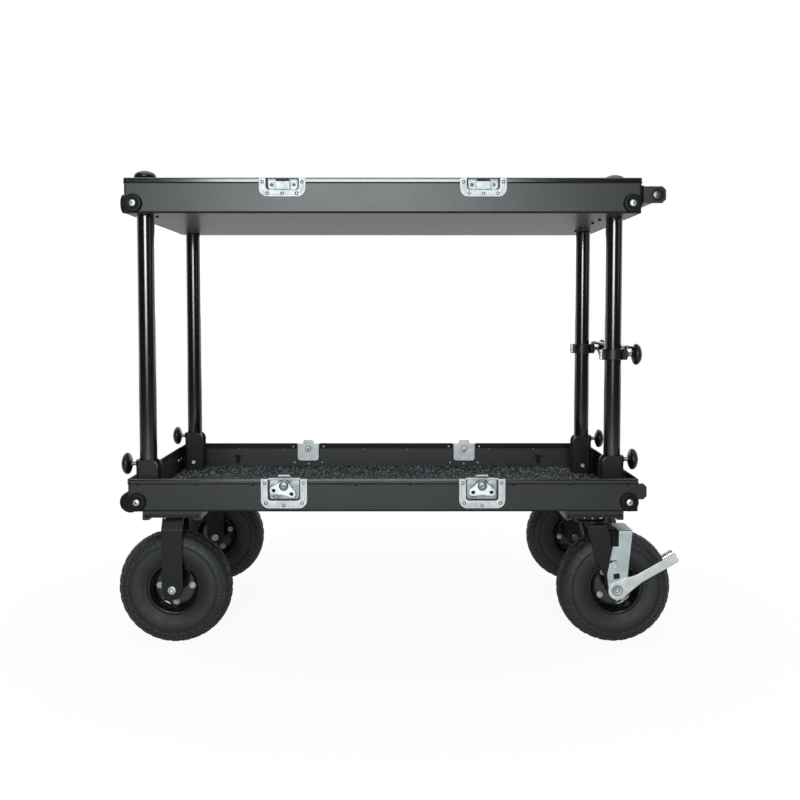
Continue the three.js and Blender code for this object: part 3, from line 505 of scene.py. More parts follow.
# Keeps of a piece only what lies inside an outline seen from the side
def trim(piece, outline, place, holes=()):
    keep = side_plate(outline, -CUT_REACH, CUT_REACH, holes, CUT_EDGE)
    cut(piece, [tool(keep, place)], "INTERSECT")


def soften(piece, width):
    bevel = piece.modifiers.new("edges", "BEVEL")
    bevel.width = width * MM
    bevel.segments = 2
    bevel.limit_method = "ANGLE"
    bevel.angle_limit = math.radians(SOFTENED_ANGLE)
    bevel.harden_normals = True


def plain_box(x0, x1, y0, y1, z0, z1):
    mesh = bmesh.new()
    size = Matrix.Diagonal((x1 - x0, y1 - y0, z1 - z0, 1))
    middle = Matrix.Translation(((x0 + x1) / 2, (y0 + y1) / 2, (z0 + z1) / 2))
    bmesh.ops.create_cube(mesh, size=1.0, matrix=middle @ size)
    return mesh


# Fasteners, made pointing up from zero
def pan_screw(radius, height):
    profile = [(0, -0.5), (radius, -0.5), (radius, height * 0.25)]
    profile += [(radius * math.cos(a), height * (0.25 + 0.75 * math.sin(a))) for a in (0.35, 0.7, 1.05, 1.35)]
    profile += [(radius * 0.12, height), (0, height)]
    return lathe(profile, 32)


# A dark cross standing on a screw head: painted shade where its cross recess is
def cross_recess(radius, height):
    arm = radius * 0.42
    half = radius * 0.1
    bars = [plain_box(-arm, arm, -half, half, height - 0.25, height + 0.12)]
    bars.append(plain_box(-half, half, -arm, arm, height - 0.25, height + 0.12))
    return merged(*bars)


def socket_screw(radius, height):
    inner = radius * 0.5
    profile = [(0, height * 0.4), (inner, height * 0.4), (inner, height), (radius * 0.8, height)]
    profile += [(radius, height * 0.7), (radius, -0.5), (0, -0.5)]
    return lathe(profile, 32)


def rivet(radius, height):
    crown = [(0, height), (radius * 0.5, height * 0.85), (radius * 0.85, height * 0.5), (radius, 0)]
    return lathe([*crown, (radius, -0.3), (0, -0.3)], 20)


def hex_bolt(radius, height, washer):
    head = lathe([(0, -0.5), (radius, -0.5), (radius, height * 0.8), (radius * 0.85, height), (0, height)], 6)
    disc = lathe([(0, -0.5), (washer, -0.5), (washer, 1.1), (washer - 0.4, 1.4), (0, 1.4)], 32)
    return merged(head, disc)


# Camera at the photograph's place, found by fitting the trays, posts and wheels to it
CAMERA_X = CENTRE_X + 31.4
CAMERA_Y = -2606.1
CAMERA_Z = 733.3
CAMERA_TILT = 3.082
CAMERA_TURN = -0.139
CAMERA_LENS = 47.34
CAMERA_SHIFT = -0.0367


def make_camera():
    data = bpy.data.cameras.new("photo_camera")
    data.sensor_width = 36
    data.lens = CAMERA_LENS
    data.shift_y = CAMERA_SHIFT
    camera = linked("photo_camera", data)
    camera.location = Vector((CAMERA_X, CAMERA_Y, CAMERA_Z)) * MM
    camera.rotation_euler = (math.radians(90 - CAMERA_TILT), 0, math.radians(CAMERA_TURN))
    bpy.context.scene.camera = camera


LAMP_TINT = (0.93, 0.985, 1.0)

# Each softbox: its name, place and aim, then its width and height in metres and its power in watts
SOFTBOXES = (
    ("key", (-0.26, -4.2, 1.53), (0, 0, 0.95), 1.7, 1.35, 95),
    ("key_middle", (-0.26, -4.2, 0.72), (0, 0, 0.8), 1.7, 0.26, 9),
    ("key_low", (-0.26, -4.2, 0.44), (0, 0, 0.7), 1.7, 0.3, 2),
    ("brow", (-0.3, -2.6, 2.95), (0, 0, 0.5), 3.0, 0.2, 15),
    ("fill", (3.4, -2.0, 1.6), (0, 0, 0.6), 1.0, 1.6, 4),
    ("top", (0, 0.1, 3.4), (0, 0, 0), 3.0, 3.0, 42),
    ("back", (0, 3.6, 1.4), (0, 0, 0.5), 3.0, 1.4, 20),
)


def make_softboxes():
    for name, place, aim, width, height, power in SOFTBOXES:
        data = bpy.data.lights.new(name, "AREA")
        data.shape = "RECTANGLE"
        data.size = width
        data.size_y = height
        data.energy = power
        data.color = LAMP_TINT
        light = linked(name, data)
        light.location = place
        light.rotation_euler = (Vector(aim) - Vector(place)).to_track_quat("-Z", "Y").to_euler()


# One to the camera, and a share of one to gloss and glass that see what is behind the cart
def shown_node(nodes, links, place, front, behind, mirrored_share):
    seen = nodes.new("ShaderNodeLightPath").outputs
    heading = nodes.new("ShaderNodeSeparateXYZ")
    links.new(place, heading.inputs["Vector"])
    backward = range_node(nodes, links, heading.outputs["Y"], 0.0, 1.0, front, behind)
    mirrored = math_node(nodes, links, "MAXIMUM", seen["Is Glossy Ray"], seen["Is Transmission Ray"])
    mirrored = math_node(nodes, links, "MULTIPLY", mirrored, backward)
    mirrored = math_node(nodes, links, "MULTIPLY", mirrored, mirrored_share)
    return math_node(nodes, links, "MAXIMUM", seen["Is Camera Ray"], mirrored)


# White to the camera. Gloss and glass see that white behind the cart, and a dim room on its other side
ROOM_LEVEL = 0.05
ROOM_FRONT = 0.05
ROOM_BEHIND = 0.3
ROOM_MIRRORED = 1.0


def make_world():
    world = bpy.data.worlds.new("studio")
    bpy.context.scene.world = world
    world.use_nodes = True
    nodes = world.node_tree.nodes
    links = world.node_tree.links
    place = nodes.new("ShaderNodeTexCoord").outputs["Generated"]
    shown = shown_node(nodes, links, place, ROOM_FRONT, ROOM_BEHIND, ROOM_MIRRORED)
    level = math_node(nodes, links, "MAXIMUM", shown, ROOM_LEVEL)
    nodes["Background"].inputs["Color"].default_value = (1, 1, 1, 1)
    links.new(level, nodes["Background"].inputs["Strength"])


# White paper: it glows white to the camera and in gloss, and keeps faint shadows near the cart
FLOOR_NEAR = 0.5
FLOOR_FAR = 1.1
FLOOR_GLOW = 0.94
FLOOR_FRONT = -0.5
FLOOR_BEHIND = 0.3
FLOOR_MIRRORED = 0.3
FLOOR_HALF = 9.0
FLOOR_DROP = 0.0002


def make_floor():
    mesh = bmesh.new()
    bmesh.ops.create_grid(mesh, x_segments=2, y_segments=2, size=FLOOR_HALF)
    floor = linked("floor", stored("floor", mesh))
    floor.location.z = -FLOOR_DROP
    material, nodes, links, shader, place = graph("floor_paper")
    shader.inputs["Base Color"].default_value = (0.88, 0.88, 0.88, 1)
    shader.inputs["Roughness"].default_value = 0.9
    shader.inputs["Specular IOR Level"].default_value = 0.0
    away = nodes.new("ShaderNodeVectorMath")
    away.operation = "LENGTH"
    links.new(place, away.inputs[0])
    fade = range_node(nodes, links, away.outputs["Value"], FLOOR_GLOW, 1.0, FLOOR_NEAR, FLOOR_FAR)
    shown = shown_node(nodes, links, place, FLOOR_FRONT, FLOOR_BEHIND, FLOOR_MIRRORED)
    share = math_node(nodes, links, "MULTIPLY", shown, fade)
    glow = nodes.new("ShaderNodeEmission")
    mixed = nodes.new("ShaderNodeMixShader")
    links.new(share, mixed.inputs["Fac"])
    links.new(shader.outputs["BSDF"], mixed.inputs[1])
    links.new(glow.outputs["Emission"], mixed.inputs[2])
    links.new(mixed.outputs["Shader"], nodes["Material Output"].inputs["Surface"])
    floor.data.materials.append(material)


make_camera()
make_world()
make_floor()
make_softboxes()


# A tray's plan outline at several insets, corner radii and heights, joined into a skin
def tray_rings(levels, caps=None):
    rings = []
    for inset, radius, height in levels:
        ends = TRAY_END - inset
        sides = TRAY_SIDE - inset
        rings.append([(x, y, height) for x, y in rounded(-ends, ends, -sides, sides, radius)])
    return skin(rings, caps)


# Trays: a folded pan with a flat seat for the strip round its rim
def tray_mesh(depth):
    under = depth - BAND_HEIGHT
    levels = [
        (BEND, 2, 0), (BEND * 0.45, 3.4, BEND * 0.12), (BEND * 0.12, 4.5, BEND * 0.45),
        (0, TRAY_CORNER, BEND), (0, TRAY_CORNER, under - 0.6), (0.7, 4.3, under - 0.2),
        (0.7, 4.3, depth - 0.8), (1.3, 3.8, depth), (WALL - 0.6, 3, depth), (WALL, 2.5, depth - 0.6),
        (WALL, 2.5, FLOOR + 2.4), (WALL + 0.7, 2, FLOOR + 0.7), (WALL + 2.4, 1, FLOOR),
    ]
    return tray_rings(levels, "first")


# The strip has two flat bands between a rolled top edge, a groove and a step at its foot
def rim_strip(depth):
    foot = depth - BAND_HEIGHT
    proud = BAND_PROUD
    levels = [(0.75, 4.2, depth - 0.3), (0.75, 4.2, foot), (-0.2, 5.2, foot + 0.1), (-0.2, 5.2, foot + 1.6)]
    levels += [(0.3 - proud, 6, foot + 1.9), (-proud, 6.4, foot + 2.2), (-proud, 6.4, foot + 5.2)]
    levels += [(1.3 - proud, 5.4, foot + 5.4), (1.3 - proud, 5.4, foot + 6.6), (-proud, 6.4, foot + 6.8)]
    levels += [(-proud, 6.4, foot + 9.2), (0.4 - proud, 6, foot + 10.2), (1.1 - proud, 5.3, foot + 10.9)]
    return tray_rings(levels)


# A thin ring against a tray's wall from one height to another
def wall_strip(inset, low, high, proud):
    levels = [(inset, 4, low), (inset, 4, high)]
    levels += [(inset - proud, 4, high - 0.3), (inset - proud, 4, low + 0.3)]
    return tray_rings(levels)


# Painted shadow: a dark strip wraps the bend under a tray's wall
def bend_shadow_strip():
    levels = [(0.6, 4.2, BEND_SHADOW_HEIGHT), (-0.35, 5.2, BEND_SHADOW_HEIGHT - 0.3), (-0.35, 5.2, 1.7), (0.7, 4.3, 0)]
    levels += [(2.6, 3, -0.3), (3.4, 2.4, -0.3), (3.4, 2.4, 0.5), (1.4, 3.8, 1)]
    return tray_rings(levels)


# Latch dishes share these sizes with their solids
DISH_WIDTH = 101
PAN_WIDTH = 73
FAR_PAN_WIDTH = 66
PAN_DEPTH = 14
DISH_SHEET = 1.6
DISH_FRONT = -FIT - DISH_SHEET
TOP_WALL = 3
LATCH_HEIGHT = 65
LATCH_PAN = 49
KEEPER_HEIGHT = 41
KEEPER_PAN = 27

# The trays are cut open this much wider than the dishes, and the cutters reach past the wall and the rim
WINDOW_GAP = 0.2
PAST_WALL = 6
PAST_RIM = 5


def dish_windows(rim, pan_height, flange_height, far_width):
    tools = []
    wide = DISH_WIDTH / 2 + WINDOW_GAP
    pan_low = rim - pan_height - WINDOW_GAP
    flange_low = rim - flange_height - WINDOW_GAP
    for _, end, side in each_corner():
        x = CENTRE_X + end * LATCH_OFFSET
        half = (far_width if side > 0 else PAN_WIDTH) / 2 + WINDOW_GAP
        opening = rounded(x - half, x + half, pan_low, rim + PAST_RIM, 8.3, 8.3, 0, 0)
        y0, y1 = span(side, TRAY_SIDE - WALL - 3, TRAY_SIDE + PAST_WALL)
        tools.append(tool(side_plate(opening, y0, y1, (), CUT_EDGE)))
        y0, y1 = span(side, TRAY_SIDE, TRAY_SIDE + PAST_WALL)
        tools.append(tool(plain_box(x - wide, x + wide, y0, y1, flange_low, rim + PAST_RIM)))
    return tools


BEND_SHADOW_HEIGHT = 4
LIP_HEIGHT = 15


def make_trays():
    trays = (
        ("upper", UPPER_BOTTOM, UPPER_DEPTH, "upper_shelf", KEEPER_PAN, KEEPER_HEIGHT),
        ("lower", LOWER_BOTTOM, LOWER_DEPTH, "lower_frame", LATCH_PAN, LATCH_HEIGHT),
    )
    for name, bottom, depth, body, pan_height, flange_height in trays:
        place = at(CENTRE_X, 0, bottom)
        sheet = make(f"{name}_pan", tray_mesh(depth), COATED, body, place, replaces=[f"{name}_tray"])
        strip = make(f"{name}_strip", rim_strip(depth), STRIP, body, place)
        inner = wall_strip(WALL - 0.2, depth - LIP_HEIGHT, depth - 0.6, -0.9)
        lip = make(f"{name}_lip", inner, BUMPER, body, place)
        foot = depth - BAND_HEIGHT
        # A dark strip at the foot of the rim strip: painted shadow under it
        line = make(f"{name}_line", wall_strip(0.4, foot - 0.9, foot + 1.7, BAND_PROUD), SHADE_AND_BLACK, body, place)
        far_width = FAR_PAN_WIDTH if name == "lower" else PAN_WIDTH
        for piece in (sheet, strip, lip, line):
            cut(piece, dish_windows(bottom + depth, pan_height, flange_height, far_width))
        # Painted shadow along the bend under the wall
        make(f"{name}_bend_shadow", bend_shadow_strip(), SHADE_AND_BLACK, body, place)


BUMPER_RADIUS = 19.5
BUMPER_THICK = 8
BUMPER_INSET = 20
BUMPER_LIFT = 21
ROLLER_RADIUS = 23
ROLLER_WIDTH = 30
ROLLER_LIFT = 19


def bumper_disc():
    r, t = BUMPER_RADIUS + 0.8, BUMPER_THICK
    profile = [(0, -1), (r, -1), (r, t - 3), (r - 0.5, t - 1.5), (r - 1.6, t - 0.5), (r - 3, t)]
    profile += [(11.6, t), (11.0, t - 1.0), (9.8, t - 1.2), (9.0, t - 0.5), (0, t - 0.5)]
    return lathe(profile, 72)


# The radius and height of a bumper's screw
BUMPER_SCREW = (7.4, 3.2)


def bolt_on(name, where, body):
    make(f"{name}_screw", pan_screw(*BUMPER_SCREW), BRIGHT, body, where)
    # Painted shade in the screw's cross recess
    make(f"{name}_cross", cross_recess(*BUMPER_SCREW), SHADE_AND_BLACK, body, where)


def facing(x, y, z, axis):
    turns = {"+x": (0, 90), "-x": (0, -90), "+y": (-90, 0), "-y": (90, 0), "-z": (180, 0), "+z": (0, 0)}
    about_x, about_y = turns[axis]
    turn = Matrix.Rotation(math.radians(about_x), 4, "X") @ Matrix.Rotation(math.radians(about_y), 4, "Y")
    return Matrix.Translation((x, y, z)) @ turn


TRAYS = (("upper", UPPER_BOTTOM, "upper_shelf"), ("lower", LOWER_BOTTOM, "lower_frame"))


def make_bumpers():
    for tray, bottom, body in TRAYS:
        z = bottom + BUMPER_LIFT
        for corner, end, side in each_corner():
            name = f"{tray}_bumper_{corner}"
            x = CENTRE_X + end * (TRAY_END - BUMPER_INSET)
            make(name, bumper_disc(), BUMPER, body, facing(x, side * TRAY_SIDE, z, OUTWARD[side]))
            tip = side * (TRAY_SIDE + BUMPER_THICK - 0.3)
            bolt_on(name, facing(x, tip, z, OUTWARD[side]), body)
    x = CENTRE_X - TRAY_END
    z = UPPER_BOTTOM + BUMPER_LIFT
    for side_name, side in SIDES.items():
        y = side * (TRAY_SIDE - BUMPER_INSET)
        name = f"end_bumper_{side_name}"
        make(name, bumper_disc(), BUMPER, "upper_shelf", facing(x, y, z, "-x"))
        bolt_on(name, facing(x - BUMPER_THICK + 0.3, y, z, "-x"), "upper_shelf")
        outer = TRAY_SIDE - 6
        y0, y1 = span(side, outer, outer - ROLLER_WIDTH)
        roll = across(ROLLER_RADIUS + 0.1, y0, y1, 0, 0, 3.5, 64)
        hub = across(8, y0 - 1.2, y1 + 1.2, 0, 0, 0.6, 32)
        place = Matrix.Translation((x + 3, 0, LOWER_BOTTOM + ROLLER_LIFT))
        make(f"end_roller_{side_name}", merged(roll, hub), BUMPER, "lower_frame", place)


RIVETS = (60, 285, 411, 536)

# The end wall's bolts: how far from the middle, and how high above the ground
END_BOLTS = ((206, 339), (242, 339), (298, 320.5))

# Buttons by end of the cart: how far along and inwards from a post
UNDERSIDE_BUTTONS = {-1: ((19, 31),), 1: ((-26, 37), (-26, 123))}


def button(radius, height):
    profile = [(0, height), (radius * 0.6, height), (radius * 0.92, height * 0.8), (radius, height * 0.5)]
    return lathe([*profile, (radius, -0.4), (0, -0.4)], 24)


def make_rivets():
    walls = []
    lips = []
    for x in [CENTRE_X + sign * place for place in RIVETS for sign in (-1, 1)]:
        for side in SIDES.values():
            wall = facing(x, side * TRAY_SIDE, LOWER_RIM - 13.5, OUTWARD[side])
            walls.append(moved(rivet(2.9, 0.9), wall))
            lip = facing(x, side * (TRAY_SIDE - WALL - 0.6), LOWER_RIM - 17, OUTWARD[-side])
            lips.append(moved(rivet(2.4, 0.8), lip))
    make("wall_rivets", merged(*walls), SHADE_AND_BLACK, "lower_frame")
    make("lip_rivets", merged(*lips), STEEL, "lower_frame")
    bolts = []
    for y, height in END_BOLTS:
        for side in (-1, 1):
            place = facing(CENTRE_X - TRAY_END + WALL, side * y, height, "+x")
            bolts.append(moved(pan_screw(4.6, 2.4), place))
    make("end_wall_bolts", merged(*bolts), BRIGHT, "lower_frame")
    buttons = []
    for corner, end, side in each_corner():
        x, y = joint_place(f"post_fold_{corner}").xy
        for along, inward in UNDERSIDE_BUTTONS[end]:
            place = facing(x + along, y - side * inward, UPPER_BOTTOM, "-z")
            buttons.append(moved(button(3.8, 3.2), place))
    make("underside_buttons", merged(*buttons), SHADE_AND_BLACK, "upper_shelf")


# T-shaped cleats on the insides of the long walls
def make_cleats():
    shape = [(-5, -12), (5, -12), (5, 5), (9, 5), (9, 12), (-9, 12), (-9, 5), (-5, 5)]
    for x, name in ((-414, "left"), (424, "right")):
        for side_name, side in SIDES.items():
            cleat = side_plate(shape, -5, 0, [circle(0, 8.5, 1.8, 16)], 1.2)
            turn = 0 if side > 0 else math.pi
            place = at(CENTRE_X + x, side * (TRAY_SIDE - WALL - 0.2), LOWER_BOTTOM + 28, turn)
            make(f"cleat_{name}_{side_name}", cleat, SHADE_AND_BLACK, "lower_frame", place)


def post_places():
    return [joint_place(f"post_fold_{corner}").xy for corner in CORNERS]


# Lining: a sheet of short loops, open where the brackets or knob seats stand
def make_pile(name, node, body, gaps):
    low, high = low_corner(node), high_corner(node)
    step = 3.0
    across_x = int((high.x - low.x) / step)
    across_y = int((high.y - low.y) / step)
    mesh = bmesh.new()
    grid = []
    for i in range(across_x + 1):
        x = low.x + (high.x - low.x) * i / across_x
        column = []
        for j in range(across_y + 1):
            y = low.y + (high.y - low.y) * j / across_y
            loops = noise.noise(Vector((x * 0.17, y * 0.17, 0)))
            loops += 0.6 * noise.noise(Vector((x * 0.4, y * 0.4, 3)))
            edge = 0.0 if 0 < i < across_x and 0 < j < across_y else -3.5
            column.append(mesh.verts.new((x, y, high.z - 0.4 + 1.5 * loops + edge)))
        grid.append(column)
    for i in range(across_x):
        for j in range(across_y):
            middle = (grid[i][j].co + grid[i + 1][j + 1].co) / 2
            if any(x0 < middle.x < x1 and y0 < middle.y < y1 for x0, x1, y0, y1 in gaps):
                continue
            mesh.faces.new((grid[i][j], grid[i + 1][j], grid[i + 1][j + 1], grid[i][j + 1]))
    loose = [v for v in mesh.verts if not v.link_faces]
    bmesh.ops.delete(mesh, geom=loose, context="VERTS")
    make(name, mesh, PILE, body, smooth=180, replaces=[node])


def make_linings():
    gaps = []
    for corner in CORNERS:
        low, high = low_corner(f"bracket_{corner}"), high_corner(f"bracket_{corner}")
        gaps.append((low.x - 2, high.x + 2, low.y - 2, high.y + 2))
    make_pile("lower_lining", "lower_carpet", "lower_frame", gaps)
    seat = SEAT_RADIUS + 2
    gaps = [(x - seat, x + seat, y - seat, y + seat) for x, y in post_places()]
    make_pile("upper_lining", "upper_carpet", "upper_shelf", gaps)


# Posts, brackets and knobs
SEAT_RADIUS = 23
BRACKET_SHEET = 4
BRACKET_HEIGHT = 106
BRACKET_CORNER = 18


def make_posts():
    for corner in CORNERS:
        pivot = joint_place(f"post_fold_{corner}")
        length = high_corner(f"post_{corner}").z - pivot.z
        foot = arc(0, 0, POST_RADIUS, -90, 0, 10)
        foot[0] = (0, -POST_RADIUS)
        bore = POST_RADIUS - 3
        top = [(POST_RADIUS, length - 0.8), (POST_RADIUS - 0.8, length), (bore, length), (bore, length - 60)]
        tube = lathe([*foot, *top, (0, length - 60)], 96)
        make(f"tube_{corner}", tube, GLOSS, f"post_{corner}", at(*pivot), replaces=[f"post_{corner}"])


# The bracket opens towards the middle of the cart: its web is at the back, away from it
def make_brackets():
    inner = POST_RADIUS + 0.5
    outer = inner + BRACKET_SHEET
    back = -POST_RADIUS - 0.6 - BRACKET_SHEET
    front = back + 49
    bend = 7
    web = arc(back + bend, bend - outer, bend, 270, 180) + arc(back + bend, outer - bend, bend, 180, 90)
    web += arc(back + bend, inner - 3, 3, 90, 180) + arc(back + bend, 3 - inner, 3, 180, 270)
    cheek = rounded(back + bend - 0.4, front, 0, BRACKET_HEIGHT, 0, 0, BRACKET_CORNER, 0)
    base = rounded(back + 2, front, -inner - 1, inner + 1, 1)
    for corner in CORNERS:
        pivot = joint_place(f"post_fold_{corner}")
        turn = 0 if corner.startswith("left") else math.pi
        foot = low_corner(f"bracket_{corner}").z
        place = at(pivot.x, pivot.y, foot, turn)
        node = f"bracket_{corner}"
        parts = [plate(web, 0, BRACKET_HEIGHT, (), 0.5), plate(base, 0, BRACKET_SHEET, (), 0.4)]
        parts += [side_plate(cheek, *span(side, inner, outer)) for side in (-1, 1)]
        # The channel takes the darker copy of the coat: painted shade
        make(f"channel_{corner}", merged(*parts), SHADED_BRACKET, "lower_frame", place, replaces=[node])
        for side, mark in MARKS:
            where = facing(pivot.x, pivot.y + side * outer, pivot.z, OUTWARD[side])
            make(f"pivot_bolt_{corner}_{mark}", socket_screw(5.6, 3.4), BRIGHT, "lower_frame", where)


KNOB_RADIUS = 24.2
KNOB_THICK = 22
NECK_RADIUS = 9.5


def knob_mesh(neck, stud):
    r, t = KNOB_RADIUS, KNOB_THICK
    profile = [(0, -stud), (5.6, -stud), (6, -stud + 0.6), (6, 0), (NECK_RADIUS, 0), (NECK_RADIUS + 0.3, 1.2)]
    profile += [(NECK_RADIUS - 0.8, 2.6), (3.6, 3), (3.6, neck - 1), (NECK_RADIUS + 1.5, neck + 0.4)]
    profile += [(r * 0.72, neck + 2.6), (r * 0.9, neck + 4.8), (r * 0.985, neck + 7.6), (r, neck + 10)]
    profile += [(r * 0.98, neck + 12.6), (r * 0.9, neck + 15.6), (r * 0.74, neck + 18.6)]
    profile += [(r * 0.52, neck + 20.6), (r * 0.36, neck + t - 0.4), (r * 0.32, neck + t)]
    profile += [(r * 0.28, neck + t - 0.4), (r * 0.24, neck + t - 2.0), (0, neck + t - 2.2)]
    return lathe(profile, 80)


# The threaded stud that shows between a knob and its seat
def thread_mesh(neck):
    profile = [(3, 2.4)]
    turns = 7
    pitch = (neck - 2.4) / turns
    for turn in range(turns):
        start = 2.4 + pitch * turn
        profile += [(4.2, start + pitch * 0.1), (5.1, start + pitch * 0.5), (4.2, start + pitch * 0.9)]
    return lathe([*profile, (3, neck), (3, 2.4)], 32)


def make_knob(tag, node, place, neck, stud):
    make(tag, knob_mesh(neck, stud), PLASTIC, node, place, replaces=[node])
    make(f"{tag}_thread", thread_mesh(neck), ZINC, node, place)


def make_knobs():
    for corner in CORNERS:
        seat = joint_place(f"lock_knob_turn_{corner}")
        axis = "-x" if corner.startswith("left") else "+x"
        place = facing(seat.x, seat.y, seat.z, axis)
        make_knob(f"lock_{corner}", f"lock_knob_{corner}", place, 13, 4.3)
        seat = joint_place(f"top_knob_turn_{corner}")
        make_knob(f"cap_{corner}", f"top_knob_{corner}", at(*seat), 12.7, 14)
        base = UPPER_BOTTOM + FLOOR - 0.2
        height = seat.z - FIT - base
        shell = [(0, 0), (SEAT_RADIUS, 0), (SEAT_RADIUS, height - 1), (SEAT_RADIUS - 1, height)]
        shell += [(7, height), (7, height - 4), (0, height - 4)]
        make(f"knob_seat_{corner}", lathe(shell, 72), COATED, "upper_shelf", at(seat.x, seat.y, base))
    for side in SIDES:
        seat = joint_place(f"clamp_knob_turn_{side}")
        place = facing(seat.x, seat.y, seat.z, "+x")
        make_knob(f"clamp_{side}", f"clamp_knob_{side}", place, 12, 11)


# Recessed dishes of the latches and their keepers. Each is made about the wall's outer face at the rim
PAN_TAPER = 2.4
PAN_SKIN = 0.7


# A pan pressed back out of the flange, its sides drawn in towards its floor, as a skin with thickness
def pan_skin(height, width):
    half = width / 2
    front = -FIT - 0.6
    levels = []
    for sheet, floor in ((0, PAN_DEPTH), (PAN_SKIN, PAN_DEPTH - DISH_SHEET)):
        steps = ((0, front), (0.12, front + 2), (0.8, floor - 3.4), (1, floor - 1.4))
        steps += ((1.5, floor - 0.2), (1.8, floor))
        rows = []
        for drawn, depth in steps:
            inset = sheet + PAN_TAPER * drawn
            top = -0.8 if sheet else 0
            low = -height + sheet + PAN_TAPER * 0.5 * drawn
            outline = rounded(inset - half, half - inset, low, top, 8.2 - sheet, 8.2 - sheet, 0.4, 0.4)
            rows.append([(x, depth, z) for x, z in outline])
        levels.append(rows)
    return skin(levels[0][::-1] + levels[1], "last")


def pressed_dish(height, pan_height, pan_width):
    half = DISH_WIDTH / 2
    pan = pan_width / 2 - PAN_SKIN
    low = -pan_height + PAN_SKIN
    front = DISH_FRONT
    opening = rounded(-pan, pan, low, -0.8, 7.5, 7.5, 0.6, 0.6)
    flange = side_plate(rounded(-half, half, -height, 0, 18, 18, 1, 1), front, -FIT, [opening], 0.6)
    lip = [(x, front + 0.45, z) for x, z in opening]
    corner = 19
    turn_x, turn_z = half - corner - 5, corner + 5 - height
    rail = [(-half + 5, -1.5)] + arc(-turn_x, turn_z, corner, 180, 270)
    rail += arc(turn_x, turn_z, corner, 270, 360) + [(half - 5, -1.5)]
    rail = [(x, front + 0.35, z) for x, z in rail]
    return merged(flange, pan_skin(pan_height, pan_width), bead(lip, 0.6, True), bead(rail, 0.6))


def dots(places, radius, height, depth, axis="-y"):
    heads = [moved(rivet(radius, height), facing(x, depth, z, axis)) for x, z in places]
    return merged(*heads)


def each_latch():
    for tag, end, side in each_corner():
        x = CENTRE_X + end * LATCH_OFFSET
        yield tag, x, side * TRAY_SIDE, 0 if side < 0 else math.pi


HOOK_BACK = 5
HOOK_SHEET = 2
HUB_DROP = 15
WING_FRONT = DISH_FRONT - FIT - 3


def make_latch(tag, x, face, turn):
    place = at(x, face, LOWER_RIM, turn)
    front = DISH_FRONT
    body = "lower_frame"
    mesh = pressed_dish(LATCH_HEIGHT, LATCH_PAN, PAN_WIDTH if face < 0 else FAR_PAN_WIDTH)
    dish = make(f"dish_{tag}", mesh, ZINC, body, place, replaces=[f"latch_dish_{tag}"])
    slot = plain_box(-14.6, 14.6, front - 6, HOOK_BACK + HOOK_SHEET + 0.6, -TOP_WALL - 2, 4)
    cut(dish, [tool(slot, place)])
    rivets = [(-42.5, -9), (42.5, -9), (-39.5, -53), (39.5, -53), (0, -58.5)]
    # Dark rings round the rivets' feet: painted shade
    make(f"dish_rings_{tag}", dots(rivets, 3.9, 0.3, front), SHADE_AND_BLACK, body, place)
    make(f"dish_rivets_{tag}", dots(rivets, 2.7, 1.1, front), BRIGHT, body, place)
    tails = [(-42.5, -9.5), (42.5, -9.5), (-38.6, -54.5), (38.6, -54.5), (0, -57.5)]
    make(f"rivet_tails_{tag}", dots(tails, 3.3, 2.2, WALL, "+y"), BRIGHT, body, place)
    middle = facing(0, PAN_DEPTH, -HUB_DROP, "+y")
    head = [(0, 3.2), (2.2, 3), (3.6, 2), (4.2, 0.6), (6.6, 0.5), (6.85, 0), (6.85, -0.3), (0, -0.3)]
    make(f"pin_head_{tag}", moved(lathe(head, 32), middle), BRIGHT, body, place)
    # A dark ring round the pin head's foot: painted shade
    ring = [(6.9, 0), (7.1, 0.5), (8.2, 0.5), (8.5, 0), (8.5, -0.4), (6.9, -0.4), (6.9, 0)]
    make(f"pin_ring_{tag}", moved(lathe(ring, 32), middle), SHADE_AND_BLACK, body, place)


# The hook: a plate with two slots, an arched neck round the wing's hub and a claw at its top
def hook_mesh():
    low = -LATCH_PAN + DISH_SHEET + 2
    top = low + 33
    holes = [rounded(-26, -13, low + 3, low + 7, 2), rounded(18, 25, low + 17, low + 27, 3)]
    holes.append(rounded(22, 26, low + 4, low + 14, 2))
    holes.append(rounded(-4.6, 4.6, -HUB_DROP - 10.6, -HUB_DROP + 4.6, 4.5))
    outline = arc(-27, low + 3, 3, 180, 270, 5) + arc(27, low + 3, 3, 270, 360, 5)
    outline += arc(27, top - 3, 3, 0, 90, 5) + arc(16, top + 2, 2, 270, 180, 5) + [(14, 5), (-14, 5)]
    outline += arc(-16, top + 2, 2, 0, -90, 5) + arc(-27, top - 3, 3, 90, 180, 5)
    base = side_plate(outline, HOOK_BACK, HOOK_BACK + HOOK_SHEET, holes, 0.4)
    reach = HOOK_BACK - 4
    bend = [(HOOK_BACK + HOOK_SHEET, 2), (HOOK_BACK + HOOK_SHEET, 6)]
    bend += arc(HOOK_BACK - 1, 6, 3, 0, 90, 6)
    bend += [(reach + 1.4, 9), (reach, 8.2), (reach, 6.2), (reach + 1.2, 6), (HOOK_BACK - 1.2, 7)]
    bend += arc(HOOK_BACK - 1.2, 5.8, 1.2, 90, 0, 4) + [(HOOK_BACK, 2)]
    claw = end_plate(bend, -12.8, 12.8, (), 0.35)
    bosses = dots([(-22, low + 3.6), (-14, low + 3.2)], 2.6, 1.6, HOOK_BACK)
    return merged(base, bosses), claw


# Painted shade: a dark line where the hook's neck arches over the hub
def hook_arch():
    return bead([(x, HOOK_BACK, z) for x, z in arc(0, -HUB_DROP, 13.2, 156, 24, 16)], 0.9)


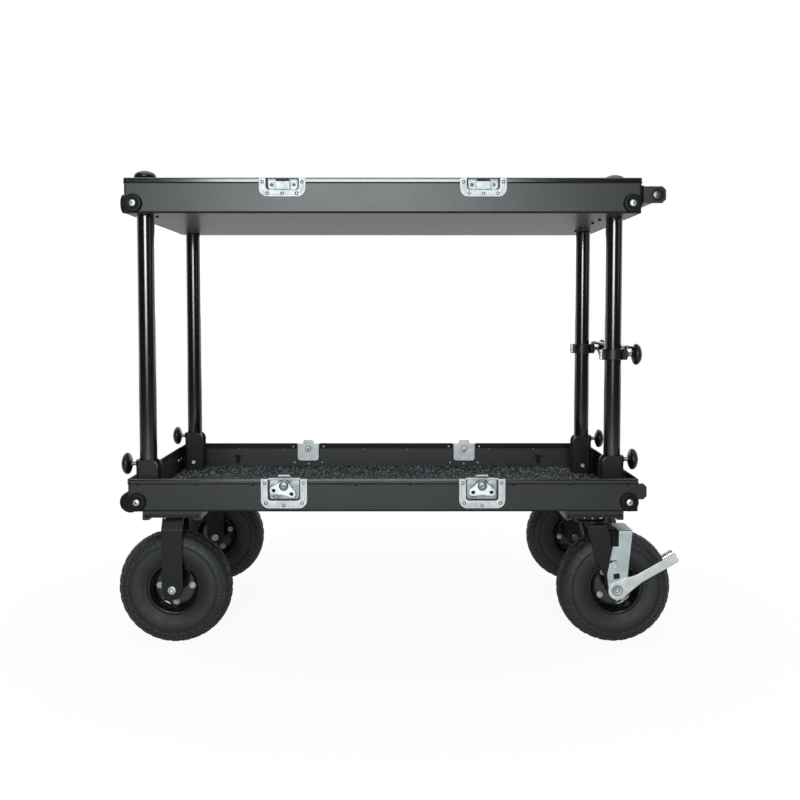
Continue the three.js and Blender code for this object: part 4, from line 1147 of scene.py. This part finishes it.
# The wing: straight tangents from its domed hub round the two lobes, with a hole in each
def wing_mesh():
    back = DISH_FRONT - FIT
    front = WING_FRONT
    reach, drop, lobe, hub = 20, 14, 9, 11
    lean = math.atan2(drop, reach)
    spread = math.acos((hub - lobe) / math.hypot(reach, drop))
    upper, lower = math.degrees(spread - lean), math.degrees(-spread - lean)
    right = arc(reach, -drop, lobe, lower, upper, 14)
    crown = arc(0, 0, hub, upper, 180 - upper, 12)
    left = arc(-reach, -drop, lobe, 180 - upper, 180 - lower, 14)
    waist = [(-9, -drop - 7.4), (-4, -drop - 5.9), (0, -drop - 5.5), (4, -drop - 5.9), (9, -drop - 7.4)]
    holes = [circle(side * reach, -drop, 3.9, 24) for side in (-1, 1)]
    body = side_plate(right + crown + left + waist, front, back, holes, 0.7)
    pin = across(4, front, PAN_DEPTH - 0.8, 0, 0, 0.4, 24)
    rims = []
    for side in (-1, 1):
        ring = [(x + side * reach, front + 0.1, z) for x, z in circle(0, -drop, 4.4, 24)]
        rims.append(bead(ring, 0.6, True))
    return merged(body, pin, *rims)


# The hub stands on the wing: a low dome with a shallow middle, and a dark line of painted shade round its
# foot
def hub_mesh():
    dome = [(0, 1.5), (2.4, 1.5), (3.2, 1.9), (6, 1.5), (8.2, 0.9), (9.4, 0.1), (9.6, -0.7)]
    dome += [(9.6, -2), (0, -2)]
    return moved(lathe([(r, h + 0.1) for r, h in dome], 48), facing(0, WING_FRONT - 1.4, 0, "-y"))


# Painted shade: a dark ring round the hub's foot and dark discs in the wing's two holes
def latch_shade_pieces():
    foot = lathe([(9.5, 0.2), (10.5, 0.2), (10.5, -0.6), (9.5, -0.6), (9.5, 0.2)], 40)
    marks = [moved(foot, facing(0, WING_FRONT, 0, "-y"))]
    for side in (-1, 1):
        disc = lathe([(0, 0), (3.8, 0), (3.8, -0.6), (0, -0.6)], 24)
        marks.append(moved(disc, facing(side * 20, WING_FRONT + 1.8, -14, "-y")))
    return merged(*marks)


def make_keeper(tag, x, face, turn):
    place = at(x, face, UPPER_RIM, turn)
    front = DISH_FRONT
    body = "upper_shelf"
    dish = pressed_dish(KEEPER_HEIGHT, KEEPER_PAN, PAN_WIDTH)
    # The keeper takes the darker copy of the zinc: painted shade
    make(f"keeper_{tag}", dish, SHADED_KEEPER_ZINC, body, place, replaces=[f"keeper_dish_{tag}"])
    holder = side_plate(rounded(-16, 16, -25.4, -6.6, 1.5, 1.5, 3, 3), 2.2, PAN_DEPTH - 1, (), 1.0)
    catch = make(f"catch_{tag}", holder, SHADED_KEEPER_ZINC, body, place)
    slot = plain_box(-11, 11, 5.2, 9.2, -12, -2)
    cut(catch, [tool(slot, place)])
    # A dark block in the gap above the catch: painted shade
    gap = plain_box(-14.6, 14.6, 4.4, PAN_DEPTH - 1.5, -6.7, -TOP_WALL - 0.2)
    make(f"catch_gap_{tag}", gap, SHADE_AND_BLACK, body, place)
    rivets = [(-43, -9.5), (43, -9.5), (-31, -34), (0, -34.3), (31, -34)]
    # Dark rings round the rivets' feet: painted shade
    make(f"keeper_rings_{tag}", dots(rivets, 3.9, 0.3, front), SHADE_AND_BLACK, body, place)
    make(f"keeper_rivets_{tag}", dots(rivets, 2.7, 1.1, front), BRIGHT, body, place)
    inner = [(-24, -14), (24, -14)]
    make(f"recess_bolts_{tag}", dots(inner, 3.6, 1.8, PAN_DEPTH - DISH_SHEET), STEEL, body, place)


def make_latches():
    for tag, x, face, turn in each_latch():
        make_latch(tag, x, face, turn)
        place = at(x, face, LOWER_RIM, turn)
        node = f"latch_hook_{tag}"
        base, claw = hook_mesh()
        make(f"hook_{tag}", base, HOOK_ZINC, node, place, replaces=[node])
        make(f"claw_{tag}", claw, ZINC, node, place)
        make(f"hook_arch_{tag}", hook_arch(), SHADE_AND_BLACK, node, place)
        place = at(x, face, LOWER_RIM - HUB_DROP, turn)
        if tag == "left_near":
            place = place @ Matrix.Rotation(math.radians(11), 4, "Y")
        node = f"latch_wing_{tag}"
        make(f"wing_{tag}", wing_mesh(), BRIGHT, node, place, replaces=[node])
        make(f"wing_hub_{tag}", hub_mesh(), HOOK_ZINC, node, place)
        # Painted shade round the hub's foot and in the wing's holes
        make(f"wing_painted_shade_{tag}", latch_shade_pieces(), SHADE_AND_BLACK, node, place)
        make_keeper(tag, x, face, turn)


# Tie between the right-hand posts: hinged clamps, their hardware and the flat bar
COLLAR_HEIGHT = 25
COLLAR_RADIUS = 24.5
LUG_REACH = 31


def make_tie():
    for side in SIDES:
        node = f"clamp_collar_{side}"
        seat = joint_place(f"clamp_knob_turn_{side}")
        post = joint_place(f"post_fold_right_{side}")
        half = COLLAR_HEIGHT / 2
        bore = POST_RADIUS + 0.05
        outer = COLLAR_RADIUS
        ring = [(bore, -half + 0.5), (bore + 0.5, -half), (outer - 1.2, -half), (outer, -half + 1.2)]
        ring += [(outer, half - 1.2), (outer - 1.2, half), (bore + 0.5, half)]
        ring += [(bore, half - 0.5), (bore, -half + 0.5)]
        place = at(post.x, post.y, seat.z)
        make(f"collar_{side}", lathe(ring, 96), PLASTIC, "tie", place, replaces=[node])
        lug = block(COLLAR_RADIUS - 3, LUG_REACH, -11, 11, -half, half, 1.4)
        make(f"collar_lug_{side}", lug, PLASTIC, "tie", place)
        barrel = merged(*[rod(4.6, *ends, 0.6, 28) for ends in ((-11, -3.9), (-3.5, 3.5), (3.9, 11))])
        hinge = at(post.x - COLLAR_RADIUS - 2.2, post.y, seat.z)
        make(f"hinge_{side}", barrel, BRIGHT, "tie", hinge)
        make(f"hinge_pin_{side}", rod(2.2, -12.2, 12.2, 0.5, 20), SHADE_AND_BLACK, "tie", hinge)
        # A dark sliver in the collar's split: painted shade
        split = plain_box(-0.5, 0.5, COLLAR_RADIUS - 4, COLLAR_RADIUS + 0.15, -half - 0.1, half + 0.1)
        make(f"split_{side}", split, SHADE_AND_BLACK, "tie", place)
    low, high = low_corner("tie_bar"), high_corner("tie_bar")
    bar = plate(rounded(low.x, high.x, low.y, high.y, 7), low.z, high.z, (), 0.8)
    make("flat_tie", bar, COATED, "tie", replaces=["tie_bar"])
    heads = []
    for side in SIDES:
        post = joint_place(f"post_fold_right_{side}")
        heads.append(moved(pan_screw(4.2, 2.2), at((low.x + high.x) / 2 - 2, post.y, high.z)))
    make("tie_screws", merged(*heads), BRIGHT, "tie")


# Push handle at the upper tray's right end: chamfered cheeks, a round bar with plugged ends, a fixing plate
def cheek_outline(reach, height, chamfer):
    front = [(reach - chamfer, 0), (reach, chamfer), (reach, height - chamfer), (reach - chamfer, height)]
    return [(0, 0), *front, (0, height)]


def make_push_handle():
    low, high = low_corner("push_handle"), high_corner("push_handle")
    reach, height, cheek = 53, 36, 6
    base = high.z - 2 - height
    outer = high.y
    bar_x = reach - 16.5
    place = at(low.x, 0, base)
    name = "push_handle"
    hole = circle(bar_x, height / 2, 13.7, 48)
    plates = []
    for side in (-1, 1):
        shape = cheek_outline(reach, height, 8)
        plates.append(side_plate(shape, *span(side, outer - cheek, outer - 1.5)))
        plates.append(side_plate(shape, *span(side, outer - 1.7, outer), [hole]))
    plates.append(block(0, 4, -outer, outer, -4, height + 2, 0.5))
    plates.append(block(0, 21, -outer + 3, outer - 3, 0, 4, 0.5))
    make("push_frame", merged(*plates), COATED, "upper_shelf", place, replaces=[name])
    bar = across(12.5, -outer + 3, outer - 3, bar_x, height / 2, 0.3, 72)
    make("push_bar", bar, GLOSS, "upper_shelf", place)
    for side_name, side in SIDES.items():
        where = place @ facing(bar_x, side * (outer - 1.4), height / 2, OUTWARD[side])
        off_centre = place @ facing(bar_x - 3, side * (outer - 1.4), height / 2, OUTWARD[side])
        # A dark disc round the bar's end in the cheek's hole: painted shade in the recess
        recess = lathe([(0, 0), (13.4, 0), (13.4, -0.4), (0, -0.4)], 48)
        make(f"bar_recess_{side_name}", recess, SHADE_AND_BLACK, "upper_shelf", where)
        plug = lathe([(0, 1.4), (4, 1.2), (6.8, 0.7), (8, 0), (8, -0.3), (0, -0.3)], 40)
        make(f"bar_plug_{side_name}", plug, STEEL, "upper_shelf", off_centre)
    screws = []
    for y in (-250, -125, 0, 125, 250):
        screws.append(moved(pan_screw(4, 2.2), facing(4, y, height / 2 + 9, "+x")))
    make("push_screws", merged(*screws), BRIGHT, "upper_shelf", place)


# Lift handle at the lower tray's right end
def make_end_handle():
    reach, height, cheek = 24, 35, 8
    outer = TRAY_SIDE - 22
    bar_x = reach - 8.5
    foot = LOWER_DEPTH - BAND_HEIGHT - 3 - height
    place = at(CENTRE_X + TRAY_END - 0.2, 0, LOWER_BOTTOM + foot)
    plates = []
    for side in (-1, 1):
        y0, y1 = span(side, outer - cheek, outer)
        plates.append(side_plate(cheek_outline(reach, height, 7), y0, y1, (), 0.6))
    plates.append(block(0, 3.2, -outer, outer, 0, height, 0.5))
    make("lift_frame", merged(*plates), COATED, "lower_frame", place)
    bar = across(8, -outer + 4, outer - 4, bar_x, height / 2, 0.4, 48)
    make("lift_bar", bar, GLOSS, "lower_frame", place)
    screws = [moved(pan_screw(3.6, 2), facing(3.2, y, 8, "+x")) for y in (-240, -80, 80, 240)]
    make("lift_screws", merged(*screws), BRIGHT, "lower_frame", place)


# Caster channels under the lower tray
CASTER_X = 464
CASTER_Y = 274.5
CHANNEL_LENGTH = 118
CHANNEL_DEPTH = 19.5
PLATE_UNDER = LOWER_BOTTOM - CHANNEL_DEPTH + 5 + FIT


def channel_section():
    half, side, reach, chamfer, depth, lip = 64, 6, 19, 5, CHANNEL_DEPTH, 5
    seat = -depth + lip + 6 + 2 * FIT
    points = [(-half, 0.5), (-half, -4), (-half + 1, -4.6), (-half + 1, -5.6), (-half, -6.2)]
    points += [(-half, -depth + 1), (-half + 1, -depth), (-half + reach - chamfer, -depth)]
    points += [(-half + reach, -depth + lip)]
    points += [(-half + side, -depth + lip), (-half + side, seat)]
    return points + [(-x, z) for x, z in reversed(points)]


def make_channels():
    for corner, end, side in each_corner():
        outer = TRAY_SIDE - 2
        place = at(CENTRE_X + end * CASTER_X, 0, LOWER_BOTTOM)
        channel = side_plate(channel_section(), *span(side, outer, outer - CHANNEL_LENGTH))
        make(f"caster_channel_{corner}", channel, COATED, "lower_frame", place)
        bolts = []
        for i in range(5):
            spot_y = side * (TRAY_SIDE - 14 - 23 * i)
            bolts.append(moved(button(3.4, 2.4), facing(-end * 56, spot_y, -CHANNEL_DEPTH, "-z")))
        make(f"channel_bolts_{corner}", merged(*bolts), ZINC, "lower_frame", place)
        lock_place = facing(end * 15.7, side * (outer - 5), PLATE_UNDER - LOWER_BOTTOM, "-z")
        lock = moved(hex_bolt(3.0, 3.0, 4.2), lock_place)
        make(f"channel_lock_{corner}", lock, ZINC, "lower_frame", place)


# Casters
def fork_section(crown_half, shoulder, top):
    foot = (-FORK_OUTER, 60)
    foot_inside = (-FORK_INNER, 60)
    if crown_half:
        crown = (-crown_half - FORK_SHEET, top)
        crown_inside = (-crown_half - 1.0, top - FORK_SHEET - 3)
        outer = [foot, *bend_points(foot, (-FORK_OUTER, shoulder), crown, 6), crown]
        inner = [*bend_points(foot_inside, (-FORK_INNER, shoulder - 1.7), crown_inside, 3), crown_inside]
    else:
        outer = [foot, *bend_points(foot, (-FORK_OUTER, top), (0, top), 7)]
        inner = bend_points(foot_inside, (-FORK_INNER, top - FORK_SHEET), (0, top - FORK_SHEET), 3)
    half = outer + [(-y, z) for y, z in reversed(outer)]
    back = [(-y, z) for y, z in inner]
    return half + [(FORK_INNER, 60)] + back + [(y, z) for y, z in reversed(inner)] + [foot_inside]


# Points that round the corner at b on the way from a to c
def bend_points(a, b, c, radius, steps=6):
    a, b, c = Vector(a), Vector(b), Vector(c)
    back = (a - b).normalized()
    on = (c - b).normalized()
    half = back.angle(on) / 2
    reach = radius / math.tan(half)
    points = []
    for i in range(steps + 1):
        t = i / steps
        start = b + back * reach
        end = b + on * reach
        first = start.lerp(b, t)
        second = b.lerp(end, t)
        points.append(tuple(first.lerp(second, t)))
    return points


def make_rigid_fork(side_name, side):
    node = f"rigid_fork_{side_name}"
    place = at(CENTRE_X - CASTER_X, side * CASTER_Y, 0)
    top = PLATE_UNDER + 2
    section = end_plate(fork_section(24, PLATE_UNDER - 26, top), -23.5, 23.5, (), 0.2)
    fork = make(f"rigid_legs_{side_name}", section, CAST, "lower_frame", place, replaces=[node])
    outline = [(-23, top + 20)] + arc(0, WHEEL_RADIUS, 23, 180, 360, 28) + [(23, top + 20)]
    trim(fork, outline, place)
    soften(fork, 0.9)
    axle_set(side_name, "left", place, "lower_frame")
    top_plate(side_name, side, "rigid", place)


def axle_set(side_name, end_name, place, body):
    shank = [across(7, -FORK_OUTER, FORK_OUTER, 0, 0, 0.4, 32)]
    for y0, y1 in ((33.3, FORK_INNER + 1), (-FORK_INNER - 1, -33.3)):
        shank.append(across(12, y0, y1, 0, 0, 0.4, 32))
    centre = place @ Matrix.Translation((0, 0, WHEEL_RADIUS))
    make(f"axle_{end_name}_{side_name}", merged(*shank), ZINC, body, centre)
    head = [(0, 2.2), (3.4, 2.2), (3.9, 5.5), (6.4, 5.9), (8.2, 5.3), (9.2, 3.8), (9.4, 1.2)]
    head += [(9.4, -0.6), (0, -0.6)]
    # A dark ring on each axle head: painted shade of a groove
    ring = [(4.6, 6), (5.8, 6.2), (5.8, 5), (4.6, 5), (4.6, 6)]
    for face, mark in MARKS:
        where = facing(0, face * FORK_OUTER, 0, OUTWARD[face])
        tag = f"{end_name}_{side_name}_{mark}"
        # The inner axle head of the far right wheel is darker than the others: painted shade
        metal = STEEL if tag == "right_far_a" else BRIGHT
        make(f"axle_head_{tag}", moved(lathe(head, 40), where), metal, body, centre)
        make(f"axle_ring_{tag}", moved(lathe(ring, 32), where), SHADE_AND_BLACK, body, centre)


def top_plate(side_name, side, kind, place):
    outer = TRAY_SIDE - 2 - CASTER_Y
    y0, y1 = span(side, outer, outer - 112)
    mesh = plate(rounded(-57.7, 57.7, y0, y1, 4), PLATE_UNDER, PLATE_UNDER + 6, (), 0.6)
    make(f"{kind}_plate_{side_name}", mesh, CAST, "lower_frame", place)


HOUSING_RADIUS = 40
RACE_TOP = PLATE_UNDER - 10 - FIT
CROWN_TOP = RACE_TOP - 5
TRAIL = 50


# The side of a swivel leg, from its head down to the axle
def leg_outline():
    head, knee, shin = (-17, CROWN_TOP), (0, CROWN_TOP - 67), (21, CROWN_TOP - 111)
    flare = (35, CROWN_TOP - 23)
    outline = [(-17, CROWN_TOP + 8), head]
    outline += bend_points(head, knee, shin, 30) + bend_points(knee, shin, (TRAIL - 21, WHEEL_RADIUS), 24)
    outline += arc(TRAIL, WHEEL_RADIUS, 21, 180, 360, 26)
    outline += bend_points((TRAIL + 21, WHEEL_RADIUS), flare, (24, CROWN_TOP), 8)
    return outline + [(24, CROWN_TOP), (24, CROWN_TOP + 8)]


def make_swivel(side_name, side):
    place = at(CENTRE_X + CASTER_X, side * CASTER_Y, 0)
    top_plate(side_name, side, "slide", place)
    body = "lower_frame"
    under = PLATE_UNDER
    r = HOUSING_RADIUS
    housing = [(0, under - 10), (r - 7, under - 10), (r - 5.4, under - 9.4), (r - 1, under - 6)]
    housing += [(r, under - 4.6), (r, under + 1), (0, under + 1)]
    node = f"swivel_plate_{side_name}"
    make(f"race_housing_{side_name}", lathe(housing, 96), CAST, body, place, replaces=[node])
    balls = []
    for i in range(14):
        a = 2 * math.pi * (i + 0.3) / 14
        where = Matrix.Translation((r * math.cos(a), r * math.sin(a), under - 2.4))
        balls.append(moved(rivet(2.4, 1.6), where @ Matrix.Rotation(a, 4, "Z") @ ALONG_X))
    make(f"race_dots_{side_name}", merged(*balls), ZINC, body, place)
    node = f"swivel_fork_{side_name}"
    section = end_plate(fork_section(0, 0, CROWN_TOP), -24, TRAIL + 22, (), 0.2)
    legs = make(f"swivel_legs_{side_name}", section, CAST, node, place, replaces=[node])
    trim(legs, leg_outline(), place)
    soften(legs, 0.9)
    race = [(0, RACE_TOP), (34, RACE_TOP), (35, RACE_TOP - 1), (35, CROWN_TOP - 1), (0, CROWN_TOP - 1)]
    make(f"lower_race_{side_name}", lathe(race, 96), CAST, node, place)
    kingpin = moved(hex_bolt(9, 7, 15), facing(0, 0, CROWN_TOP - FORK_SHEET, "-z"))
    make(f"king_nut_{side_name}", kingpin, ZINC, node, place)
    axle_set(side_name, "right", place @ Matrix.Translation((TRAIL, 0, 0)), node)
    stop = lathe([(0, 0), (5.8, 0), (6.8, 1.4), (6.8, 20), (6.2, 22.6), (4.6, 24.4), (2.4, 25), (0, 25)], 36)
    where = place @ Matrix.Translation((TRAIL - 7.6, side * FORK_OUTER, WHEEL_RADIUS + 97.8))
    make(f"brake_stop_{side_name}", stop, BUMPER, node, where)


def rim_mesh():
    profile = [
        (7.5, 33), (15.8, 33), (17, 32), (17, 6), (19, 3.2), (28, 2.6), (39.4, 2.6), (40.2, 3.6), (41.6, 3.6),
        (42.4, 2.4), (43, -0.4), (45, -1.2), (47, 0.4), (48.2, 4.6), (48.9, 5.4), (49.4, 12), (49.8, 17.2),
        (51.0, 18.4), (51.2, 20.2), (52.6, 21.6), (53.4, 23.8), (54.6, 25.2), (56.2, 26.2), (57.4, 26.1),
        (58.2, 25.2), (58, 24), (56.4, 23), (53.6, 22), (52.7, 20.5),
    ]
    other = [(r, -h) for r, h in reversed(profile)]
    return lathe([*profile, *other, profile[0]], 120)


def wheel_bolts(face, offset):
    bolts = []
    for i in range(4):
        a = math.radians(offset + 90 * i)
        whole = merged(hex_bolt(5.3, 4.4, 7.2), rod(3, 4, 7, 0.5, 20))
        where = facing(36.5 * math.cos(a), face * 2.7, 36.5 * math.sin(a), OUTWARD[face])
        bolts.append(moved(whole, where))
    return merged(*bolts)


# The valve leaves the rim at its lower left and curves outward to its cap
def valve_mesh():
    path = []
    for i in range(9):
        t = i / 8
        angle = math.radians(228 + 24 * t)
        r = 44 - 9 * math.sin(t * math.pi * 0.6)
        path.append((r * math.cos(angle), -3 - 13 * t, r * math.sin(angle)))
    stem = bead(path, 1.9)
    tip = Vector(path[-1])
    heading = (tip - Vector(path[-2])).normalized()
    turn = Matrix.Translation(tip) @ heading.to_track_quat("Z", "Y").to_matrix().to_4x4()
    cap = lathe([(0, -1), (2.6, -1), (2.6, 5.4), (2, 6.6), (0, 6.8)], 20)
    return merged(stem, moved(cap, turn))


# Half of the tyre's section from its bead out to the crown: radius, then distance from the middle
TYRE_SECTION = (
    (53.4, 20.6), (56.4, 24), (59.5, 28.2), (62, 30.6), (64.5, 31.2), (66, 31.9), (69, 33.6), (74, 35.6),
    (80, 37.0), (86, 37.5), (91, 37.2), (93.0, 36.9), (93.6, 38.0), (94.6, 38.0), (95.2, 36.9),
    (95.8, 36.9), (96.4, 37.9), (97.4, 37.8), (98.0, 36.4), (101, 35.8), (105, 34.6), (109, 32.8),
    (112.4, 30.4), (115.4, 27.2), (118.2, 23.2), (120.8, 18.4), (123.2, 12), (124.6, 5),
)
TREAD_COUNT = 33


def lug(angle, corners, inner, outer):
    low = [spot(angle, a, w, r - inner) for a, w, r in corners]
    high = [spot(angle, a * 0.9, w, r + outer) for a, w, r in corners]
    return skin([low, high], "first")


# A point on the tyre: angle round the axle, distance along it, radius
def spot(angle, turn, width, radius):
    a = angle + turn
    return (radius * math.cos(a), width, radius * math.sin(a))


# A raised square outline with a hollow middle, standing on the shoulder
BLOCK_RADIUS = 107
BLOCK_HALF = 6.6
BLOCK_TURN = 0.064


def shoulder_block(angle, face):
    levels = ((1.0, -1.2), (1.0, 1.1), (0.92, 1.5), (0.68, 1.5), (0.6, 0.12))
    rings = []
    for share, rise in levels:
        ring = []
        for u, v in ((-1, -1), (1, -1), (1, 1), (-1, 1)):
            radius = BLOCK_RADIUS + v * BLOCK_HALF * share
            width = face * (shoulder_face(radius) + rise)
            ring.append(spot(angle, u * BLOCK_TURN * share, width, radius))
        rings.append(ring)
    return skin(rings, "last")


def shoulder_face(radius):
    for (r0, w0), (r1, w1) in zip(TYRE_SECTION, TYRE_SECTION[1:]):
        if r0 <= radius <= r1:
            return w0 + (w1 - w0) * (radius - r0) / (r1 - r0)
    return TYRE_SECTION[-1][1]


def tyre_mesh():
    other = [(r, -w) for r, w in reversed(TYRE_SECTION)]
    inside = [(53.0, -18), (53.0, 18)]
    carcass = lathe([*TYRE_SECTION, *other, *inside, TYRE_SECTION[0]], 198)
    whole = [moved(carcass, Matrix.Rotation(math.pi / 2, 4, "X"))]
    blocks = []
    step = 2 * math.pi / TREAD_COUNT
    shoulder = [(-0.06, 29.4, 113.4), (0.06, 29.4, 113.4), (0.07, 19.6, 120.2), (-0.07, 19.6, 120.2)]
    middle = [(-0.074, 17.6, 121.2), (0.06, 17.6, 121.2), (0.074, 3.0, 124.6), (-0.06, 3.0, 124.6)]
    for i in range(TREAD_COUNT):
        for face in (-1, 1):
            angle = step * (i + (0.25 if face > 0 else 0.75))
            whole.append(lug(angle + step / 2, [(a, face * w, r) for a, w, r in shoulder], 1.5, 1.6))
            whole.append(lug(angle, [(a, face * w, r) for a, w, r in middle], 1.5, 2.0))
            blocks.append(shoulder_block(angle, face))
    return merged(*whole), merged(*blocks)


BOLT_TURNS = {"left_near": 0, "left_far": 22, "right_near": 37, "right_far": 12}
VALVE_TURNS = {"left_near": 0, "left_far": 105, "right_near": 160, "right_far": 0}


def make_wheels():
    for tag, end, side in each_corner():
        body = f"wheel_{tag}"
        x = CASTER_X + TRAIL if end > 0 else -CASTER_X
        place = at(CENTRE_X + x, side * CASTER_Y, WHEEL_RADIUS)
        bell = moved(rim_mesh(), Matrix.Rotation(math.pi / 2, 4, "X"))
        make(f"rim_bell_{tag}", bell, ENAMEL, body, place, replaces=[f"rim_{tag}"])
        for face, mark in MARKS:
            make(f"rim_bolts_{tag}_{mark}", wheel_bolts(face, BOLT_TURNS[tag]), ZINC, body, place)
        valve = moved(valve_mesh(), Matrix.Rotation(math.radians(-VALVE_TURNS[tag]), 4, "Y"))
        make(f"valve_{tag}", valve, BRASS, body, place)
        tread, blocks = tyre_mesh()
        make(f"tread_{tag}", tread, RUBBER, body, place, smooth=38, replaces=[f"tyre_{tag}"])
        # The lighter blocks carry painted sheen
        make(f"tread_blocks_{tag}", blocks, BLOCK_SHEEN, body, place)


# Foot brake: one folded sheet, its plate outside the outer leg and its bridge over the tyre
YOKE_INNER = FORK_OUTER + 0.5
YOKE_SHEET = 3
YOKE_OUTER = YOKE_INNER + YOKE_SHEET
YOKE_TOP = WHEEL_RADIUS + 2.6 + YOKE_SHEET
BRIDGE_REACH = 34


def yoke_side():
    outline = [(33, YOKE_TOP + 2), (3, YOKE_TOP + 2), (3, 99)] + arc(1, 99, 2, 0, -90, 5)
    outline += [(-8.4, 97)] + arc(-8.4, 95.2, 1.8, 90, 170, 4)
    outline += bend_points((-10.2, 95), (-22, 34), (-18, 0), 12)
    return outline + arc(0, 0, 18, 180, 360, 26) + bend_points((18, 4), (22, 23), (24, 40), 10)


# The sheet's section across the cart, folded once over the tyre
def yoke_section(side):
    top = YOKE_TOP
    leg_out, leg_in, tip = side * YOKE_OUTER, side * YOKE_INNER, -side * BRIDGE_REACH
    points = [(leg_out, -24)] + bend_points((leg_out, 0), (leg_out, top), (0, top), 4.5)
    points += [(tip, top), (tip, top - YOKE_SHEET)]
    points += bend_points((0, top - YOKE_SHEET), (leg_in, top - YOKE_SHEET), (leg_in, 0), 1.8)
    return points + [(leg_in, -24)]


def turned(points, angle, x, y):
    turn = Matrix.Rotation(math.radians(angle), 2)
    return [tuple(turn @ Vector(point) + Vector((x, y))) for point in points]


def make_brake(side_name, side):
    place = at(CENTRE_X + CASTER_X + TRAIL, side * CASTER_Y, WHEEL_RADIUS)
    node = f"brake_yoke_{side_name}"
    sheet = end_plate(yoke_section(side), -24, 33, (), 0.2)
    yoke = make(f"yoke_{side_name}", sheet, PLATE, node, place, replaces=[node])
    window = turned(rounded(-7, 7, -6, 6, 0.8), 6, -1, 31)
    trim(yoke, yoke_side(), place, [window, circle(0, 0, 9.2, 32)])
    soften(yoke, 0.5)
    outside = Matrix.Translation((0, side * (YOKE_OUTER + 0.05), 0))
    # Dark flat sheets shaped as a curved slot and a small hole: painted shade of a slot and hole cut in the
    # plate
    slot = arc(-6, 54, 12.6, 66, 150, 8) + arc(-6, 54, 10.4, 150, 66, 8)
    dark = merged(plain_slot(slot), plain_slot(circle(-13.4, 64, 2.6, 16)))
    make(f"yoke_slot_{side_name}", moved(dark, outside), SHADE_AND_BLACK, node, place)
    screw = [(0, 1.0), (2.2, 1.0), (2.6, 2.1), (4.6, 2.3), (5.8, 1.6), (6, 0.4), (6, -0.4), (0, -0.4)]
    where = facing(-6, side * YOKE_OUTER, 54, OUTWARD[side])
    make(f"yoke_screw_{side_name}", moved(lathe(screw, 32), where), BRIGHT, node, place)
    y0, y1 = span(side, YOKE_INNER + 0.4, YOKE_OUTER - 0.4)
    tab = side_plate(rounded(-2.5, 3.5, -24.5, -16, 1), y0, y1, (), 0.4)
    make(f"yoke_tab_{side_name}", tab, ZINC, node, place)
    make_pedal(side_name, side, place)


def plain_slot(outline):
    mesh = bmesh.new()
    front = [mesh.verts.new((x, -0.12, z)) for x, z in outline]
    back = [mesh.verts.new((x, 0.12, z)) for x, z in outline]
    mesh.faces.new(front)
    mesh.faces.new(back[::-1])
    for i in range(len(outline)):
        j = (i + 1) % len(outline)
        mesh.faces.new((front[i], back[i], back[j], front[j]))
    return mesh


PEDAL_BOSS = 20
PEDAL_NECK_X = 55
PEDAL_NECK = 10
PEDAL_REACH = math.hypot(130.5, 74)
PEDAL_ANGLE = math.atan2(74, 130.5)


def make_pedal(side_name, side, place):
    node = f"brake_pedal_{side_name}"
    tilted = place @ Matrix.Rotation(-PEDAL_ANGLE, 4, "Y")
    near = YOKE_OUTER + FIT
    far = near + 5
    y0, y1 = span(side, near, far)
    neck = math.hypot(PEDAL_NECK_X, PEDAL_NECK)
    tangent = math.degrees(math.atan2(PEDAL_NECK, PEDAL_NECK_X) + math.acos(PEDAL_BOSS / neck))
    boss_x = PEDAL_BOSS * 0.4
    low_neck = ((boss_x, -PEDAL_BOSS), (PEDAL_NECK_X, -PEDAL_NECK), (PEDAL_REACH, -PEDAL_NECK))
    high_neck = ((PEDAL_REACH, PEDAL_NECK), (PEDAL_NECK_X, PEDAL_NECK), (boss_x, PEDAL_BOSS))
    outline = arc(0, 0, PEDAL_BOSS, tangent, 360 - tangent, 30) + bend_points(*low_neck, 40)
    outline += arc(PEDAL_REACH - 5, 5 - PEDAL_NECK, 5, -90, 0, 6) + [(PEDAL_REACH, PEDAL_NECK)]
    outline += bend_points(*high_neck, 40)
    lever = side_plate(outline, y0, y1, [circle(0, 0, 7.2, 32)], 0.9)
    make(f"lever_{side_name}", lever, LEVER, node, tilted, replaces=[node])
    y0, y1 = span(side, 34, 56.5)
    end = PEDAL_REACH - 2
    low, high = PEDAL_NECK - 0.2, PEDAL_NECK + 5.7
    shape = rounded(end - 29, end, low, high, 0.8, 0.8, 1.6, 1.6)
    make(f"pad_bar_{side_name}", side_plate(shape, y0, y1, (), 0.7), CHROME, node, tilted)
    y0, y1 = span(side, 34.6, 56.0)
    grips = []
    for i in range(6):
        start = end - 28 + 4.6 * i
        grips.append(side_plate(rounded(start, start + 3.8, high - 2.2, high + 0.5, 0.4), y0, y1, (), 0.2))
    make(f"pad_grip_{side_name}", merged(*grips), BUMPER, node, tilted)
    where = facing(0, side * far, 0, OUTWARD[side])
    cup = [(7.4, -1.5), (9.4, -1.4), (10.6, -0.7), (11.2, 0.5), (12.4, 0.7), (13, 0.1), (13, -0.4)]
    cup += [(7.4, -2.4), (7.4, -1.5)]
    # A dark ring in the boss's groove: painted shade
    groove = lathe([(9.4, 1.1), (11.0, 1.1), (11.0, -0.6), (9.4, -0.6), (9.4, 1.1)], 40)
    make(f"boss_groove_{side_name}", moved(groove, where), SHADE_AND_BLACK, node, tilted)
    make(f"boss_ring_{side_name}", moved(lathe(cup, 48), where), LEVER, node, tilted)


make_trays()
make_bumpers()
make_rivets()
make_cleats()
make_linings()
make_posts()
make_brackets()
make_knobs()
make_latches()
make_tie()
make_push_handle()
make_end_handle()
make_channels()
for side_name, side in SIDES.items():
    make_rigid_fork(side_name, side)
    make_swivel(side_name, side)
    make_brake(side_name, side)
make_wheels()

even_normals()

bpy.context.scene.view_settings.view_transform = "Standard"
